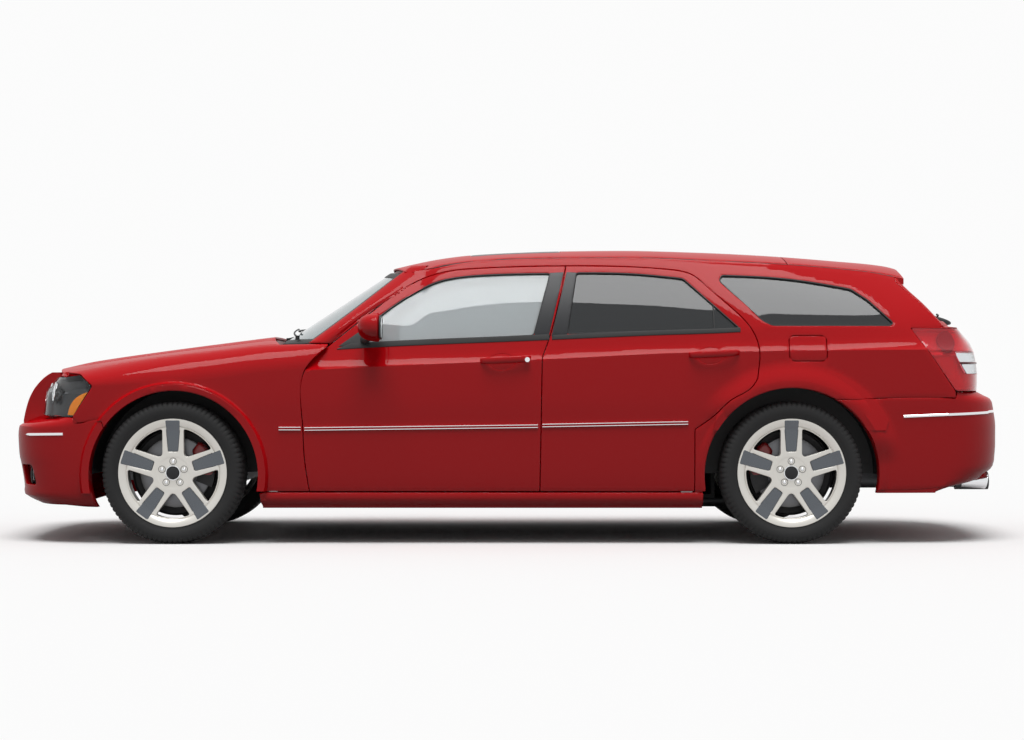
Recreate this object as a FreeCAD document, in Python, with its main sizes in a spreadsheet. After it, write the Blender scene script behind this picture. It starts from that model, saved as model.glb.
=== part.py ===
# Station wagon: body shell, closures, glazing, cabin, running gear and wheels.
# Frame: X runs from the nose (negative) to the tail, the left side is at negative Y,
# +Z is up, and the origin is on the ground at the middle of the car's length.
import FreeCAD
import Part
import Sketcher

import math
import os
from types import SimpleNamespace

from FreeCAD import Placement, Rotation, Vector

OUT = "parts"
os.makedirs(OUT, exist_ok=True)

doc = FreeCAD.newDocument("station_wagon")

# Driving dimensions, in millimetres, degrees and counts
SIZES = {
    "wheelbase": 3048.0,
    "front_overhang": 860.0,
    "rear_overhang": 1113.0,
    "body_half_width": 905.0,
    "overall_height": 1481.0,
    "rocker_bottom": 175.0,
    "sill_top": 257.0,
    "shut_gap": 6.0,
    "seat_clearance": 0.3,
    "skin_thickness": 30.0,
    "door_trim_y": 770.0,
    "frame_depth": 42.0,
    "glass_thickness": 5.0,
    "glass_inset": 9.0,
    "arch_radius_front": 417.0,
    "arch_radius_rear": 430.0,
    "arch_centre_z": 338.0,
    "arch_brow_width": 36.0,
    "arch_brow_out": 18.0,
    "flare_width": 118.0,
    "flare_out": 30.0,
    "track": 1600.0,
    "tyre_radius": 350.0,
    "tyre_width": 250.0,
    "rim_radius": 268.0,
    "rim_width": 222.0,
    "rim_offset": 40.0,
    "spoke_count": 5,
    "spoke_width": 104.0,
    "spoke_depth": 46.0,
    "window_radius": 224.0,
    "hub_radius": 78.0,
    "lug_circle": 115.0,
    "lug_count": 5,
    "lug_radius": 10.0,
    "disc_radius": 175.0,
    "disc_thickness": 28.0,
    "stub_radius": 32.0,
    "stub_clearance": 0.3,
    "steer_axis_y": 735.0,
    "liner_wall": 5.0,
    "well_inner_y": 470.0,
    "engine_length": 620.0,
    "engine_width": 640.0,
    "engine_height": 560.0,
    "exhaust_radius": 32.0,
    "tip_radius": 44.0,
    "steering_wheel_radius": 190.0,
}

sheet = doc.addObject("Spreadsheet::Sheet", "Sizes")
for row, (alias, value) in enumerate(SIZES.items(), start=1):
    sheet.set(f"A{row}", alias)
    sheet.set(f"B{row}", str(value))
    sheet.setAlias(f"B{row}", alias)
doc.recompute()
s = SimpleNamespace(**{alias: float(sheet.get(alias)) for alias in SIZES})

# Places that follow from the driving dimensions
length = s.front_overhang + s.wheelbase + s.rear_overhang
nose_x = -length / 2
front_axle = nose_x + s.front_overhang
rear_axle = front_axle + s.wheelbase
tail_x = length / 2


# Stations: body lines are drawn on the base car and carried to the driving dimensions
BASE_STATIONS = (-2510.5, -1650.5, 1397.5, 2510.5)
BASE_HALF_WIDTH = 905.0
BASE_HEIGHT = 1481.0


def at(x):
    """Length station: stretched between nose, axles and tail."""
    real = (nose_x, front_axle, rear_axle, tail_x)
    k = 0 if x < BASE_STATIONS[1] else 1 if x < BASE_STATIONS[2] else 2
    share = (x - BASE_STATIONS[k]) / (BASE_STATIONS[k + 1] - BASE_STATIONS[k])
    return real[k] + share * (real[k + 1] - real[k])


def out(y):
    """Width station."""
    return y * s.body_half_width / BASE_HALF_WIDTH


def up(z):
    """Height station: the sill keeps its height and the body above it stretches."""
    if z <= s.rocker_bottom:
        return z
    stretch = (s.overall_height - s.rocker_bottom) / (BASE_HEIGHT - s.rocker_bottom)
    return s.rocker_bottom + (z - s.rocker_bottom) * stretch


def smooth(points, v):
    """Monotone cubic through (position, value) points, level beyond both ends."""
    if v <= points[0][0]:
        return points[0][1]
    if v >= points[-1][0]:
        return points[-1][1]
    steps = [b[0] - a[0] for a, b in zip(points, points[1:])]
    slopes = [(b[1] - a[1]) / d for a, b, d in zip(points, points[1:], steps)]
    k = max(i for i in range(len(steps)) if points[i][0] <= v)

    def tangent(i):
        if i == 0 or i == len(steps):
            return slopes[0] if i == 0 else slopes[-1]
        if slopes[i - 1] * slopes[i] <= 0:
            return 0.0
        w1 = 2 * steps[i] + steps[i - 1]
        w2 = steps[i] + 2 * steps[i - 1]
        return (w1 + w2) / (w1 / slopes[i - 1] + w2 / slopes[i])

    t = (v - points[k][0]) / steps[k]
    m0, m1 = tangent(k) * steps[k], tangent(k + 1) * steps[k]
    y0, y1 = points[k][1], points[k + 1][1]
    return (y0 * (1 + 2 * t) * (1 - t) ** 2 + m0 * t * (1 - t) ** 2
            + y1 * t * t * (3 - 2 * t) - m1 * t * t * (1 - t))


def spread(first, last, count):
    """Evenly spaced values from first to last."""
    return [first + (last - first) * i / (count - 1) for i in range(count)]


# Body lines: each is a short list of (station, value) points on the base car
BODY_SIDE = [(-2510, 868), (-2100, 888), (-1650, 905), (-1000, 901), (0, 905), (900, 908),
             (1400, 906), (1900, 892), (2200, 868), (2510, 838)]
SHOULDER_Z = [(-2300, 762), (-2234, 768), (-1650, 790), (-1336, 822), (-1267, 834), (-742, 869),
              (157, 909), (886, 943), (1226, 950), (2062, 958)]
BELT_Z = [(-1200, 930), (-843, 965), (201, 1013), (700, 1035), (1145, 1052), (1300, 1070), (2200, 1075)]
BELT_Y = [(-1200, 812), (-843, 838), (0, 858), (900, 862), (1400, 850), (1900, 816), (2300, 752)]
RAIL_Z = [(-455, 1350), (-336, 1380), (-166, 1402), (34, 1415), (281, 1419), (657, 1420),
          (1055, 1404), (1389, 1388), (1612, 1371), (1841, 1347), (2000, 1318)]
RAIL_Y = [(-500, 612), (-300, 630), (300, 645), (1000, 640), (1400, 628), (1900, 596), (2050, 584)]
ROOF_Z = [(-640, 1368), (-597, 1382), (-474, 1415), (-353, 1438), (-208, 1456), (35, 1470),
          (277, 1478), (591, 1481), (1002, 1471), (1315, 1456), (1691, 1428), (1960, 1402), (2040, 1380)]
HOOD_EDGE_Z = [(-2310, 828), (-2234, 842), (-1766, 916), (-1480, 949), (-1146, 982), (-890, 986)]
HOOD_EDGE_Y = [(-2310, 590), (-2234, 622), (-2100, 668), (-1900, 712), (-1700, 738), (-1146, 762),
               (-966, 796), (-890, 812)]
HOOD_Z = [(-2345, 858), (-2300, 869), (-2100, 903), (-1766, 950), (-1480, 988), (-1215, 1022)]
SECTION = [(150, -76), (175, -60), (215, -28), (257, -17), (400, -6), (590, 0), (700, 3), (800, 1),
           (960, -6)]
NOSE_X = [(176, -2190), (185, -2365), (213, -2445), (240, -2482), (260, -2478), (375, -2493),
          (430, -2505), (530, -2510.5), (585, -2504), (693, -2478), (762, -2443), (816, -2395),
          (846, -2350), (870, -2310)]
LAMP_X = [(176, -2190), (185, -2365), (213, -2445), (240, -2482), (260, -2478), (375, -2493),
          (430, -2505), (530, -2510.5), (575, -2504), (598, -2440), (614, -2352), (633, -2330),
          (721, -2318), (791, -2300), (823, -2285), (846, -2262), (870, -2225)]
TAIL_X = [(248, 1900), (253, 2030), (268, 2165), (284, 2300), (307, 2412), (331, 2450), (375, 2498),
          (495, 2510.5), (570, 2510.5), (658, 2498), (696, 2490), (718, 2468), (731, 2432)]
GATE_X = [(731, 2392), (765, 2398), (828, 2400), (916, 2387), (979, 2366), (1035, 2320), (1073, 2282),
          (1180, 2165), (1310, 2026)]


def body_side(x, z):
    """Half width of the side below the shoulder."""
    return smooth(BODY_SIDE, x) + smooth(SECTION, z)


def shoulder_y(x, z):
    """Half width between the shoulder crease and the belt: a small step in, then a lean."""
    low, high = smooth(SHOULDER_Z, x), smooth(BELT_Z, x)
    share = (z - low) / (high - low)
    start = body_side(x, low)
    return start + (smooth(BELT_Y, x) - start) * smooth([(0, 0), (0.14, 0.28), (1, 1)], share)


def greenhouse_y(x, z):
    """Half width above the belt: it leans in more and more towards the roof rail."""
    low, high = smooth(BELT_Z, x), smooth(RAIL_Z, x)
    share = (z - low) / (high - low)
    lean = 0.62 * share + 0.38 * share * share
    return smooth(BELT_Y, x) + (smooth(RAIL_Y, x) - smooth(BELT_Y, x)) * lean


def side_y(x, z):
    """Half width of the doors and quarter at any height."""
    if z <= smooth(SHOULDER_Z, x):
        return body_side(x, z)
    if z <= smooth(BELT_Z, x):
        return shoulder_y(x, z)
    return greenhouse_y(x, z)


def roof_z(x, y):
    """Roof height: a crown over the two rails."""
    rail, crown = smooth(RAIL_Z, x), smooth(ROOF_Z, x)
    return rail + (crown - rail) * (1 - (abs(y) / smooth(RAIL_Y, x)) ** 2.2)


def hood_z(x, y):
    """Hood height: a crown over its two shut lines."""
    edge, crown = smooth(HOOD_EDGE_Z, x), smooth(HOOD_Z, x)
    return edge + (crown - edge) * (1 - (abs(y) / smooth(HOOD_EDGE_Y, x)) ** 2.4)


def screen_x(y, z):
    """Windscreen: a straight rake, wrapped back towards its sides."""
    return -1199 + (z - 989) * 1.532 + 3.4e-4 * y * y


def corner(side_x, end_x, half_width, z, count, power=2.6, root=3.0):
    """Plan curve at one height from the side (side_x) round the corner to the centre line."""
    dense = []
    for i in range(161):
        angle = math.pi / 2 * i / 160
        x = side_x + (end_x - side_x) * math.sin(angle) ** (2 / power)
        dense.append((x, half_width(x, z) * math.cos(angle) ** (2 / root)))
    return dense


def even(points, count):
    """The same curve with count points at even distances along it."""
    run = [0.0]
    for a, b in zip(points, points[1:]):
        run.append(run[-1] + math.dist(a, b))
    marks, k = [], 0
    for target in spread(0.0, run[-1], count):
        while k < len(run) - 2 and run[k + 1] < target:
            k += 1
        share = (target - run[k]) / (run[k + 1] - run[k])
        marks.append(tuple(p + (q - p) * share for p, q in zip(points[k], points[k + 1])))
    return marks


def place(x, y, z):
    """A point of the base car at its place on this one."""
    return Vector(at(x), out(y), up(z))


# Freeform skins: a grid of points becomes one cubic surface, two surfaces close to a slab
def knots(count, degree):
    inner = [sum(range(j, j + degree)) / degree / (count - 1) for j in range(1, count - degree)]
    return [0.0] + inner + [1.0], [degree + 1] + [1] * len(inner) + [degree + 1]


def blending(i, degree, v, full):
    if degree == 0:
        last = v == 1.0 and full[i] < full[i + 1] == 1.0
        return 1.0 if full[i] <= v < full[i + 1] or last else 0.0
    left, right = full[i + degree] - full[i], full[i + degree + 1] - full[i + 1]
    value = (v - full[i]) / left * blending(i, degree - 1, v, full) if left else 0.0
    if right:
        value += (full[i + degree + 1] - v) / right * blending(i + 1, degree - 1, v, full)
    return value


def inverse(matrix):
    n = len(matrix)
    rows = [list(row) + [float(i == j) for j in range(n)] for i, row in enumerate(matrix)]
    for c in range(n):
        pivot = max(range(c, n), key=lambda r: abs(rows[r][c]))
        rows[c], rows[pivot] = rows[pivot], rows[c]
        lead = rows[c][c]
        rows[c] = [v / lead for v in rows[c]]
        for r in range(n):
            if r != c and rows[r][c]:
                factor = rows[r][c]
                rows[r] = [v - factor * w for v, w in zip(rows[r], rows[c])]
    return [row[n:] for row in rows]


FITS = {}


def fitting(count):
    """Weights that turn points on a curve into its control points."""
    if count not in FITS:
        values, repeats = knots(count, 3)
        full = [v for v, m in zip(values, repeats) for _ in range(m)]
        FITS[count] = inverse([[blending(j, 3, i / (count - 1), full) for j in range(count)]
                               for i in range(count)])
    return FITS[count]


def poles(grid):
    across = fitting(len(grid[0]))
    along = fitting(len(grid))
    half = [[sum((p * w for p, w in zip(row, ws)), Vector()) for ws in across] for row in grid]
    return [[sum((half[k][j] * ws[k] for k in range(len(grid))), Vector())
             for j in range(len(grid[0]))] for ws in along]


def surface(net, degree_u=3, degree_v=3):
    values_u, repeats_u = knots(len(net), degree_u)
    values_v, repeats_v = knots(len(net[0]), degree_v)
    spline = Part.BSplineSurface()
    spline.buildFromPolesMultsKnots(net, repeats_u, repeats_v, values_u, values_v,
                                    False, False, degree_u, degree_v)
    return spline.toShape()


def slab(outer, inner):
    """Solid between two grids of points of the same size."""
    a, b = poles(outer), poles(inner)
    faces = [surface(a), surface(b)]
    faces += [surface([a[k], b[k]], 1, 3) for k in (0, -1)]
    faces += [surface([[row[k] for row in a], [row[k] for row in b]], 1, 3) for k in (0, -1)]
    shell = Part.makeShell(faces)
    shell.sewShape()
    solid = Part.makeSolid(shell)
    if solid.Volume < 0:
        solid.reverse()
    return solid


def runs_wire(runs, to_point):
    """Closed wire of runs: two points make a line, more make a smooth curve."""
    edges = []
    for run in runs:
        points = [to_point(a, b) for a, b in run]
        if len(points) == 2:
            edges.append(Part.LineSegment(*points).toShape())
        else:
            curve = Part.BSplineCurve()
            curve.interpolate(points)
            edges.append(curve.toShape())
    return Part.Wire(edges)


def plain_curves(face):
    """The same face with each offset curve written as a spline."""
    edges = []
    for edge in face.OuterWire.OrderedEdges:
        if isinstance(edge.Curve, (Part.Line, Part.Circle)):
            edges.append(edge)
        else:
            edges.append(edge.Curve.toBSpline(edge.FirstParameter, edge.LastParameter).toShape())
    return Part.Face(Part.Wire(edges))


def outline(runs, inset=0.0, reach=(-1200, 0), plane="XZ"):
    """Prism of a closed outline seen from the side (XZ), the end (YZ) or above (XY)."""
    low, high = reach
    if plane == "XZ":
        wire = runs_wire(runs, lambda x, z: Vector(at(x), out(low), up(z)))
        travel = Vector(0, out(high) - out(low), 0)
    elif plane == "YZ":
        wire = runs_wire(runs, lambda y, z: Vector(at(low), out(y), up(z)))
        travel = Vector(at(high) - at(low), 0, 0)
    else:
        wire = runs_wire(runs, lambda x, y: Vector(at(x), out(y), up(low)))
        travel = Vector(0, 0, up(high) - up(low))
    face = Part.Face(wire)
    if inset:
        face = plain_curves(face.makeOffset2D(-inset))
    return face.extrude(travel)


def closed(points):
    """Straight-sided closed outline."""
    return [[a, b] for a, b in zip(points, points[1:] + points[:1])]


def largest(shape):
    return max(shape.Solids, key=lambda solid: solid.Volume)


def mirrored(shape):
    return shape.mirror(Vector(0, 0, 0), Vector(0, 1, 0))


def both(shape):
    """The left-hand shape and its mirror image on the right."""
    return Part.makeCompound([shape, mirrored(shape)])


NODES = []


def feature(name, shape):
    """Shape worked out above, as one sub-part of the document."""
    item = doc.addObject("Part::Feature", name)
    item.Label = name
    item.Shape = shape
    item.Placement = Placement()
    NODES.append(item)
    return item


def cell(alias, times=1.0, plus=0.0):
    """Length from the sheet: its value now, and the expression that ties it to the cell."""
    return times * getattr(s, alias) + plus, f"Sizes.{alias} * {times} + {plus}"


def tie(item, name, size):
    """Gives a property a number, or an expression on the sheet."""
    if isinstance(size, tuple):
        item.setExpression(name, size[1])
    else:
        setattr(item, name, size)


def primitive(kind, name, sizes, where=Placement()):
    """Part primitive with its sizes tied to the sheet."""
    item = doc.addObject(f"Part::{kind}", name)
    for key, size in sizes.items():
        tie(item, key, size)
    item.Placement = where
    return item


def box(name, x0, x1, y0, y1, z0, z1, radius=0.0, lean=0.0):
    """Box between stations, its edges rounded, leaned back about its lower front edge."""
    corner_a, corner_b = place(x0, y0, z0), place(x1, y1, z1)
    size = corner_b - corner_a
    item = primitive("Box", name, {"Length": size.x, "Width": size.y, "Height": size.z})
    if radius:
        rounded = doc.addObject("Part::Fillet", f"{name}_rounded")
        rounded.Base = item
        rounded.Edges = [(edge, radius, radius) for edge in range(1, 13)]
        item = rounded
    item.Placement = Placement(corner_a, Rotation(Vector(0, 1, 0), lean))
    return item


def joined(name, items, kind="MultiFuse"):
    """Fuses sub-parts, or collects them with kind Compound."""
    item = doc.addObject(f"Part::{kind}", name)
    if kind == "Compound":
        item.Links = items
    else:
        item.Shapes = items
    return item


def less(name, base, tool):
    item = doc.addObject("Part::Cut", name)
    item.Base = base
    item.Tool = tool
    return item


def node(item, name):
    """Marks a finished sub-part for export under its own name."""
    item.Label = name
    NODES.append(item)
    return item


def profile(body, plane, points, shift=0.0):
    """Closed sketch of straight lines, each corner dimensioned from the origin."""
    plan = body.newObject("Sketcher::SketchObject", f"{body.Name}_profile")
    plan.AttachmentSupport = [(next(f for f in body.Origin.OriginFeatures if plane in f.Name), "")]
    plan.MapMode = "FlatFace"
    plan.AttachmentOffset = Placement(Vector(0, 0, shift), Rotation())
    values = [[size[0] if isinstance(size, tuple) else float(size) for size in point] for point in points]
    corners = [Vector(x, y, 0) for x, y in values]
    for i, corner_point in enumerate(corners):
        plan.addGeometry(Part.LineSegment(corner_point, corners[(i + 1) % len(corners)]), False)
    for i in range(len(corners)):
        plan.addConstraint(Sketcher.Constraint("Coincident", i, 2, (i + 1) % len(corners), 1))
    for i, point in enumerate(points):
        for kind, axis, size, value in (("DistanceX", -2, point[0], values[i][0]),
                                        ("DistanceY", -1, point[1], values[i][1])):
            if value == 0:
                plan.addConstraint(Sketcher.Constraint("PointOnObject", i, 1, axis))
            else:
                k = plan.addConstraint(Sketcher.Constraint(kind, -1, 1, i, 1, value))
                if isinstance(size, tuple):
                    plan.setExpression(f"Constraints[{k}]", size[1])
    return plan


def turned(body, points):
    """Revolves (radius, height) points about the body's Z axis."""
    plan = profile(body, "XZ_Plane", points)
    item = body.newObject("PartDesign::Revolution", f"{body.Name}_turned")
    item.Profile = plan
    item.ReferenceAxis = (plan, ["V_Axis"])
    item.Angle = 360
    return item


def padded(body, plane, points, length, shift=0.0):
    """Pads a closed outline, both ways from its plane when shift is zero."""
    item = body.newObject("PartDesign::Pad", f"{body.Name}_pad")
    item.Profile = profile(body, plane, points, shift)
    tie(item, "Length", length)
    item.Midplane = shift == 0.0
    return item


def pocketed(body, plan, depth, copies):
    """Pocket that cuts down from its sketch, repeated round the body's Z axis."""
    item = body.newObject("PartDesign::Pocket", f"{body.Name}_pocket")
    item.Profile = plan
    item.Length = depth
    pattern = body.newObject("PartDesign::PolarPattern", f"{body.Name}_pattern")
    pattern.Originals = [item]
    pattern.Axis = (plan, ["N_Axis"])
    pattern.Angle = 360
    tie(pattern, "Occurrences", copies)
    body.Tip = pattern
    return pattern


def side_slab(first, last, low, high, half_width, inner, columns=14, rows=7):
    """Left-hand slab between two stations and two heights, which may be body lines."""
    outer_grid, inner_grid = [], []
    for x in spread(first, last, columns):
        z0 = low(x) if callable(low) else low
        z1 = high(x) if callable(high) else high
        outer_grid.append([place(x, -half_width(x, z), z) for z in spread(z0, z1, rows)])
        inner_grid.append([place(x, -inner(x, z), z) for z in spread(z0, z1, rows)])
    return slab(outer_grid, inner_grid)


def shoulder(x):
    return smooth(SHOULDER_Z, x)


def belt(x):
    return smooth(BELT_Z, x)


def rail(x):
    return smooth(RAIL_Z, x)


# Shut lines and other lines on the side, seen from the left, on the base car
FENDER_DOOR = [(-978, 257), (-1004, 436), (-1012, 595), (-1002, 852), (-890, 975)]
PILLAR_DOOR = [(-890, 975), (-639, 1179)]
DOOR_TOP = [(-639, 1179), (-487, 1287), (-334, 1347), (-166, 1367), (50, 1376), (290, 1380)]
DOOR_B_HIGH = [(290, 1380), (208, 1025), (170, 919)]
DOOR_B_LOW = [(170, 919), (158, 257)]
REAR_TOP = [(290, 1380), (400, 1380), (530, 1378), (655, 1373), (770, 1365), (872, 1352), (915, 1338),
            (950, 1315)]
REAR_BACK = [(950, 1315), (1097, 1179), (1203, 1063), (1236, 986), (1239, 890), (1227, 813)]
REAR_ARCH = [(1227, 813), (1196, 770), (1096, 709), (1026, 642), (921, 565)]
FRONT_GLASS = [[(-800, 983), (-622, 1137), (-485, 1234), (-333, 1305), (-181, 1329), (50, 1339),
                (211, 1341)],
               [(211, 1341), (128, 1030)], [(128, 1030), (-800, 983)]]
REAR_GLASS = [[(343, 1344), (600, 1340), (874, 1315)], [(874, 1315), (1145, 1064)],
              [(1145, 1064), (292, 1037)], [(292, 1037), (343, 1344)]]
QUARTER_GLASS = [[(1070, 1332), (1400, 1313), (1597, 1284), (1715, 1262)], [(1715, 1262), (1793, 1208)],
                 [(1793, 1208), (1912, 1092)], [(1912, 1092), (1900, 1078)], [(1900, 1078), (1310, 1078)],
                 [(1310, 1078), (1262, 1102)], [(1262, 1102), (1056, 1303)], [(1056, 1303), (1070, 1332)]]
HEADLAMP = [(-2305, 633), (-2150, 623), (-2050, 777), (-2117, 833), (-2203, 823), (-2246, 791),
            (-2284, 721)]
TAIL_LAMP = [(1998, 1066), (2600, 1066), (2600, 748), (2213, 752)]
FUEL_DOOR = [(1386, 899), (1576, 899), (1576, 1028), (1386, 1028)]
FASCIA_TOP = 593
BUMPER_TOP = 718

GATE = closed([(-545, 728), (545, 728), (600, 1066), (690, 1072), (560, 1330), (-560, 1330),
               (-690, 1072), (-600, 1066)])

FRONT_DOOR = [FENDER_DOOR, PILLAR_DOOR, DOOR_TOP, DOOR_B_HIGH, DOOR_B_LOW, [(158, 257), (-978, 257)]]
REAR_DOOR = [DOOR_B_LOW[::-1], DOOR_B_HIGH[::-1], REAR_TOP, REAR_BACK, REAR_ARCH, [(921, 565), (921, 257)],
             [(921, 257), (158, 257)]]

half_gap = s.shut_gap / 2


def arch(axle_x, radius, low=-1000, high=-300):
    """Cylinder that opens a wheel arch on the left."""
    base = Vector(axle_x, out(low), s.arch_centre_z)
    return Part.makeCylinder(radius, out(high) - out(low), base, Vector(0, 1, 0))


front_arch = arch(front_axle + 5, s.arch_radius_front)
rear_arch = arch(rear_axle + 2, s.arch_radius_rear)


def round_axle(axle_x, profile):
    """Ring round a wheel arch on the left, from (radius, half width) points."""
    points = [Vector(axle_x + r, out(-y), s.arch_centre_z) for r, y in profile]
    face = Part.Face(Part.makePolygon(points + points[:1]))
    return face.revolve(Vector(axle_x, 0, s.arch_centre_z), Vector(0, 1, 0), 360)


front_lip = s.arch_radius_front + s.arch_brow_width
front_brow = round_axle(front_axle + 5, [
    (s.arch_radius_front - 5, 880), (s.arch_radius_front - 5, BASE_HALF_WIDTH + s.arch_brow_out),
    (front_lip, BASE_HALF_WIDTH + s.arch_brow_out), (front_lip + 12, 902), (front_lip + 12, 880)])
flare_edge = s.arch_radius_rear + 34
haunch = round_axle(rear_axle + 2, [
    (s.arch_radius_rear - 5, 860), (s.arch_radius_rear - 5, BASE_HALF_WIDTH + s.flare_out - 4),
    (flare_edge, BASE_HALF_WIDTH + s.flare_out), (s.arch_radius_rear + s.flare_width, 907),
    (s.arch_radius_rear + s.flare_width, 860)])
HAUNCH = [(1010, 560), (1030, 660), (1052, 748), (1120, 820), (1200, 866), (1300, 896), (1401, 906),
          (1520, 893), (1650, 845), (1760, 770), (1840, 690), (1877, 614), (1860, 560)]


def lower_door_inner(x, z):
    return s.door_trim_y


def upper_inner(x, z):
    return side_y(x, z) - s.frame_depth


def sides(first, last, inner_low, inner_high, columns=14, low=150):
    """Left side from below the sill to the roof rail: side, shoulder and greenhouse."""
    lower = side_slab(first, last, low, shoulder, body_side, inner_low, columns, 9)
    middle = side_slab(first, last, shoulder, belt, shoulder_y, inner_low, columns, 5)
    upper = side_slab(first, last, belt, rail, greenhouse_y, inner_high, columns, 6)
    return lower.multiFuse([middle, upper])


def swing(runs, hinge_x, hinge_y):
    """Space that an edge sweeps round a vertical hinge, so that what is inside it can open."""
    edge = [point for run in runs for point in run[:-1]] + [runs[-1][-1]]
    radii = []
    for x, z in edge:
        dx, dy = at(x) - hinge_x, out(side_y(x, z)) + hinge_y
        radii.append((math.hypot(dx, dy), up(z)))
    low, high = radii[0], radii[-1]
    profile = [(0, low[1] - 100), (low[0], low[1] - 100)] + radii + [(high[0], high[1] + 100),
                                                                   (0, high[1] + 100)]
    points = [Vector(hinge_x + r, hinge_y, z) for r, z in profile]
    face = Part.Face(Part.makePolygon(points + points[:1]))
    return face.revolve(Vector(hinge_x, hinge_y, 0), Vector(0, 0, 1), 360)


def door(runs, glass, first, last, back_edge, hinge_x):
    """Door cut from the side, with its closing edge relieved so that it swings clear."""
    shape = sides(first, last, lower_door_inner, upper_inner).fuse(haunch)
    shape = shape.common(outline(runs, half_gap))
    shape = shape.cut(outline(glass))
    return shape.common(swing(back_edge, hinge_x, -door_hinge_y))


def pane(glass, first, last):
    """Side glass: a thin slab a little inside the skin, trimmed to its opening."""
    outer = s.glass_inset
    inner = s.glass_inset + s.glass_thickness
    sheet_slab = side_slab(first, last, belt, rail, lambda x, z: greenhouse_y(x, z) - outer,
                           lambda x, z: greenhouse_y(x, z) - inner, 10, 6)
    return sheet_slab.common(outline(glass, s.seat_clearance))


haunch = haunch.common(outline(closed(HAUNCH))).cut(rear_arch)

# Closures on the sides: each door's hinge line stands just outside its front edge
door_hinge_y = out(BASE_HALF_WIDTH) + 10
front_hinge_x = at(-1012) + half_gap
rear_hinge_x = at(160) + half_gap
front_door = door(FRONT_DOOR, FRONT_GLASS, -1040, 320, [DOOR_B_LOW[::-1], DOOR_B_HIGH[::-1]], front_hinge_x)
REAR_EDGE = [[(921, 257), (921, 565)], REAR_ARCH[::-1], REAR_BACK[::-1]]
rear_door = door(REAR_DOOR, REAR_GLASS, 130, 1260, REAR_EDGE, rear_hinge_x)
for side, flip in (("left", lambda shape: shape), ("right", mirrored)):
    feature(f"front_door_{side}", flip(front_door))
    feature(f"rear_door_{side}", flip(rear_door))
    feature(f"front_door_glass_{side}", flip(pane(FRONT_GLASS, -860, 260)))
    feature(f"rear_door_glass_{side}", flip(pane(REAR_GLASS, 250, 1200)))


# Cowl and windscreen sides
def a_pillar_line(z):
    """Station of the door side of the windscreen pillar at one height."""
    return -966 + (z - 981) * 494 / 356


def screen_half(z):
    """Half width of the windscreen at one height."""
    return side_y(a_pillar_line(z), z) - s.frame_depth - 6


def screen_pillar():
    """Outer part of the windscreen pillar: it turns the corner from the side to the glass."""
    outer_grid, inner_grid = [], []
    for z in spread(991, 1392, 9):
        x0 = a_pillar_line(z)
        y0 = side_y(x0, z)
        y1 = screen_half(z)
        x1 = screen_x(y1, z)
        outer_row, inner_row = [], []
        for share in spread(0, 1, 4):
            bulge = 10 * math.sin(math.pi * share)
            outer_row.append(place(x0 + 6 + (x1 - x0 - 6) * share - bulge, -(y0 + (y1 - y0) * share), z))
            inner_row.append(place(x0 + 42 + (x1 - x0 - 4) * share, -(y0 - 30 + (y1 - y0 + 30) * share), z))
        outer_grid.append(outer_row)
        inner_grid.append(inner_row)
    return slab(outer_grid, inner_grid)


# Body sides: sill, pillars, roof rail and quarter of each side in one pressing
def quarter_inner(x, z):
    return side_y(x, z) - 3 * s.skin_thickness


ROOF_CUT = 1409


def block(x0, x1, y0, y1, z0, z1):
    """Box between stations, widths and heights."""
    corner_a, corner_b = place(x0, y0, z0), place(x1, y1, z1)
    size = corner_b - corner_a
    return Part.makeBox(size.x, size.y, size.z, corner_a)


def roof_slab(first, last, depth, columns=12, rows=9, margin=0.0, above=0.0):
    """Slab that follows the roof between two stations, its front edge straight or curved."""
    top, under = [], []
    for step in spread(0, 1, columns):
        top_row, under_row = [], []
        for share in spread(-1, 1, rows):
            start = first(share) if callable(first) else first
            x = start + (last - start) * step
            y = share * (smooth(RAIL_Y, x) - margin)
            top_row.append(place(x, y, roof_z(x, y) + above))
            under_row.append(place(x, y, roof_z(x, y) - depth))
        top.append(top_row)
        under.append(under_row)
    return slab(top, under)


def header(share):
    return -597 + 115 * share * share


def body_side_panel():
    shape = sides(-1300, 2150, quarter_inner, upper_inner, 24).fuse(haunch)
    edge = [(-1211, 175), (960, 175), (960, 257), (1300, 600), (1600, BUMPER_TOP), (2215, BUMPER_TOP),
            (2213, 752), (1998, 1066), (2164, 1066), (1950, 1300), (1950, 1500),
            (-470, 1500), (-470, 1338), (-966, 981), (-1000, 990), (-1211, 500)]
    shape = shape.common(outline(closed(edge)))
    fender_zone = closed([(-1300, 257), (-978, 257), (-1000, 436), (-1000, 975), (-885, 975),
                          (-885, 1005), (-1300, 1005)])
    shape = shape.cut(outline(fender_zone, -half_gap))
    sill = block(-1205, 905, -800, -floor_y - s.seat_clearance, s.rocker_bottom + 3, s.sill_top - 5)
    shape = shape.multiFuse([sill, screen_pillar()])
    seat_depth = s.skin_thickness + 3 * s.seat_clearance
    roof_seat = roof_slab(lambda share: header(share) - 40, ROOF_CUT, seat_depth, 14, 9, 0, 80)
    gate_seat = roof_slab(ROOF_CUT, 2040, s.skin_thickness + s.shut_gap, 10, 9, 0, 80)
    cutters = [outline(FRONT_DOOR, -half_gap), outline(REAR_DOOR, -half_gap), rear_arch,
               outline(QUARTER_GLASS), roof_seat, gate_seat,
               roof_slab(header, ROOF_CUT, seat_depth, 12, 9, 0, 80),
               outline(GATE, -half_gap, (1900, 2600), "YZ")]
    for cutter in cutters:
        shape = shape.cut(cutter)
    return largest(shape)


floor_y = 770.0
fuel_lid_thickness = 12.0
fuel_recess_depth = 60.0
side_panel = body_side_panel()


def skin(first, last, depth):
    """The outer few millimetres of the side."""
    def inner(x, z):
        return side_y(x, z) - depth
    return sides(first, last, inner, inner, 6, 700)


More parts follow.
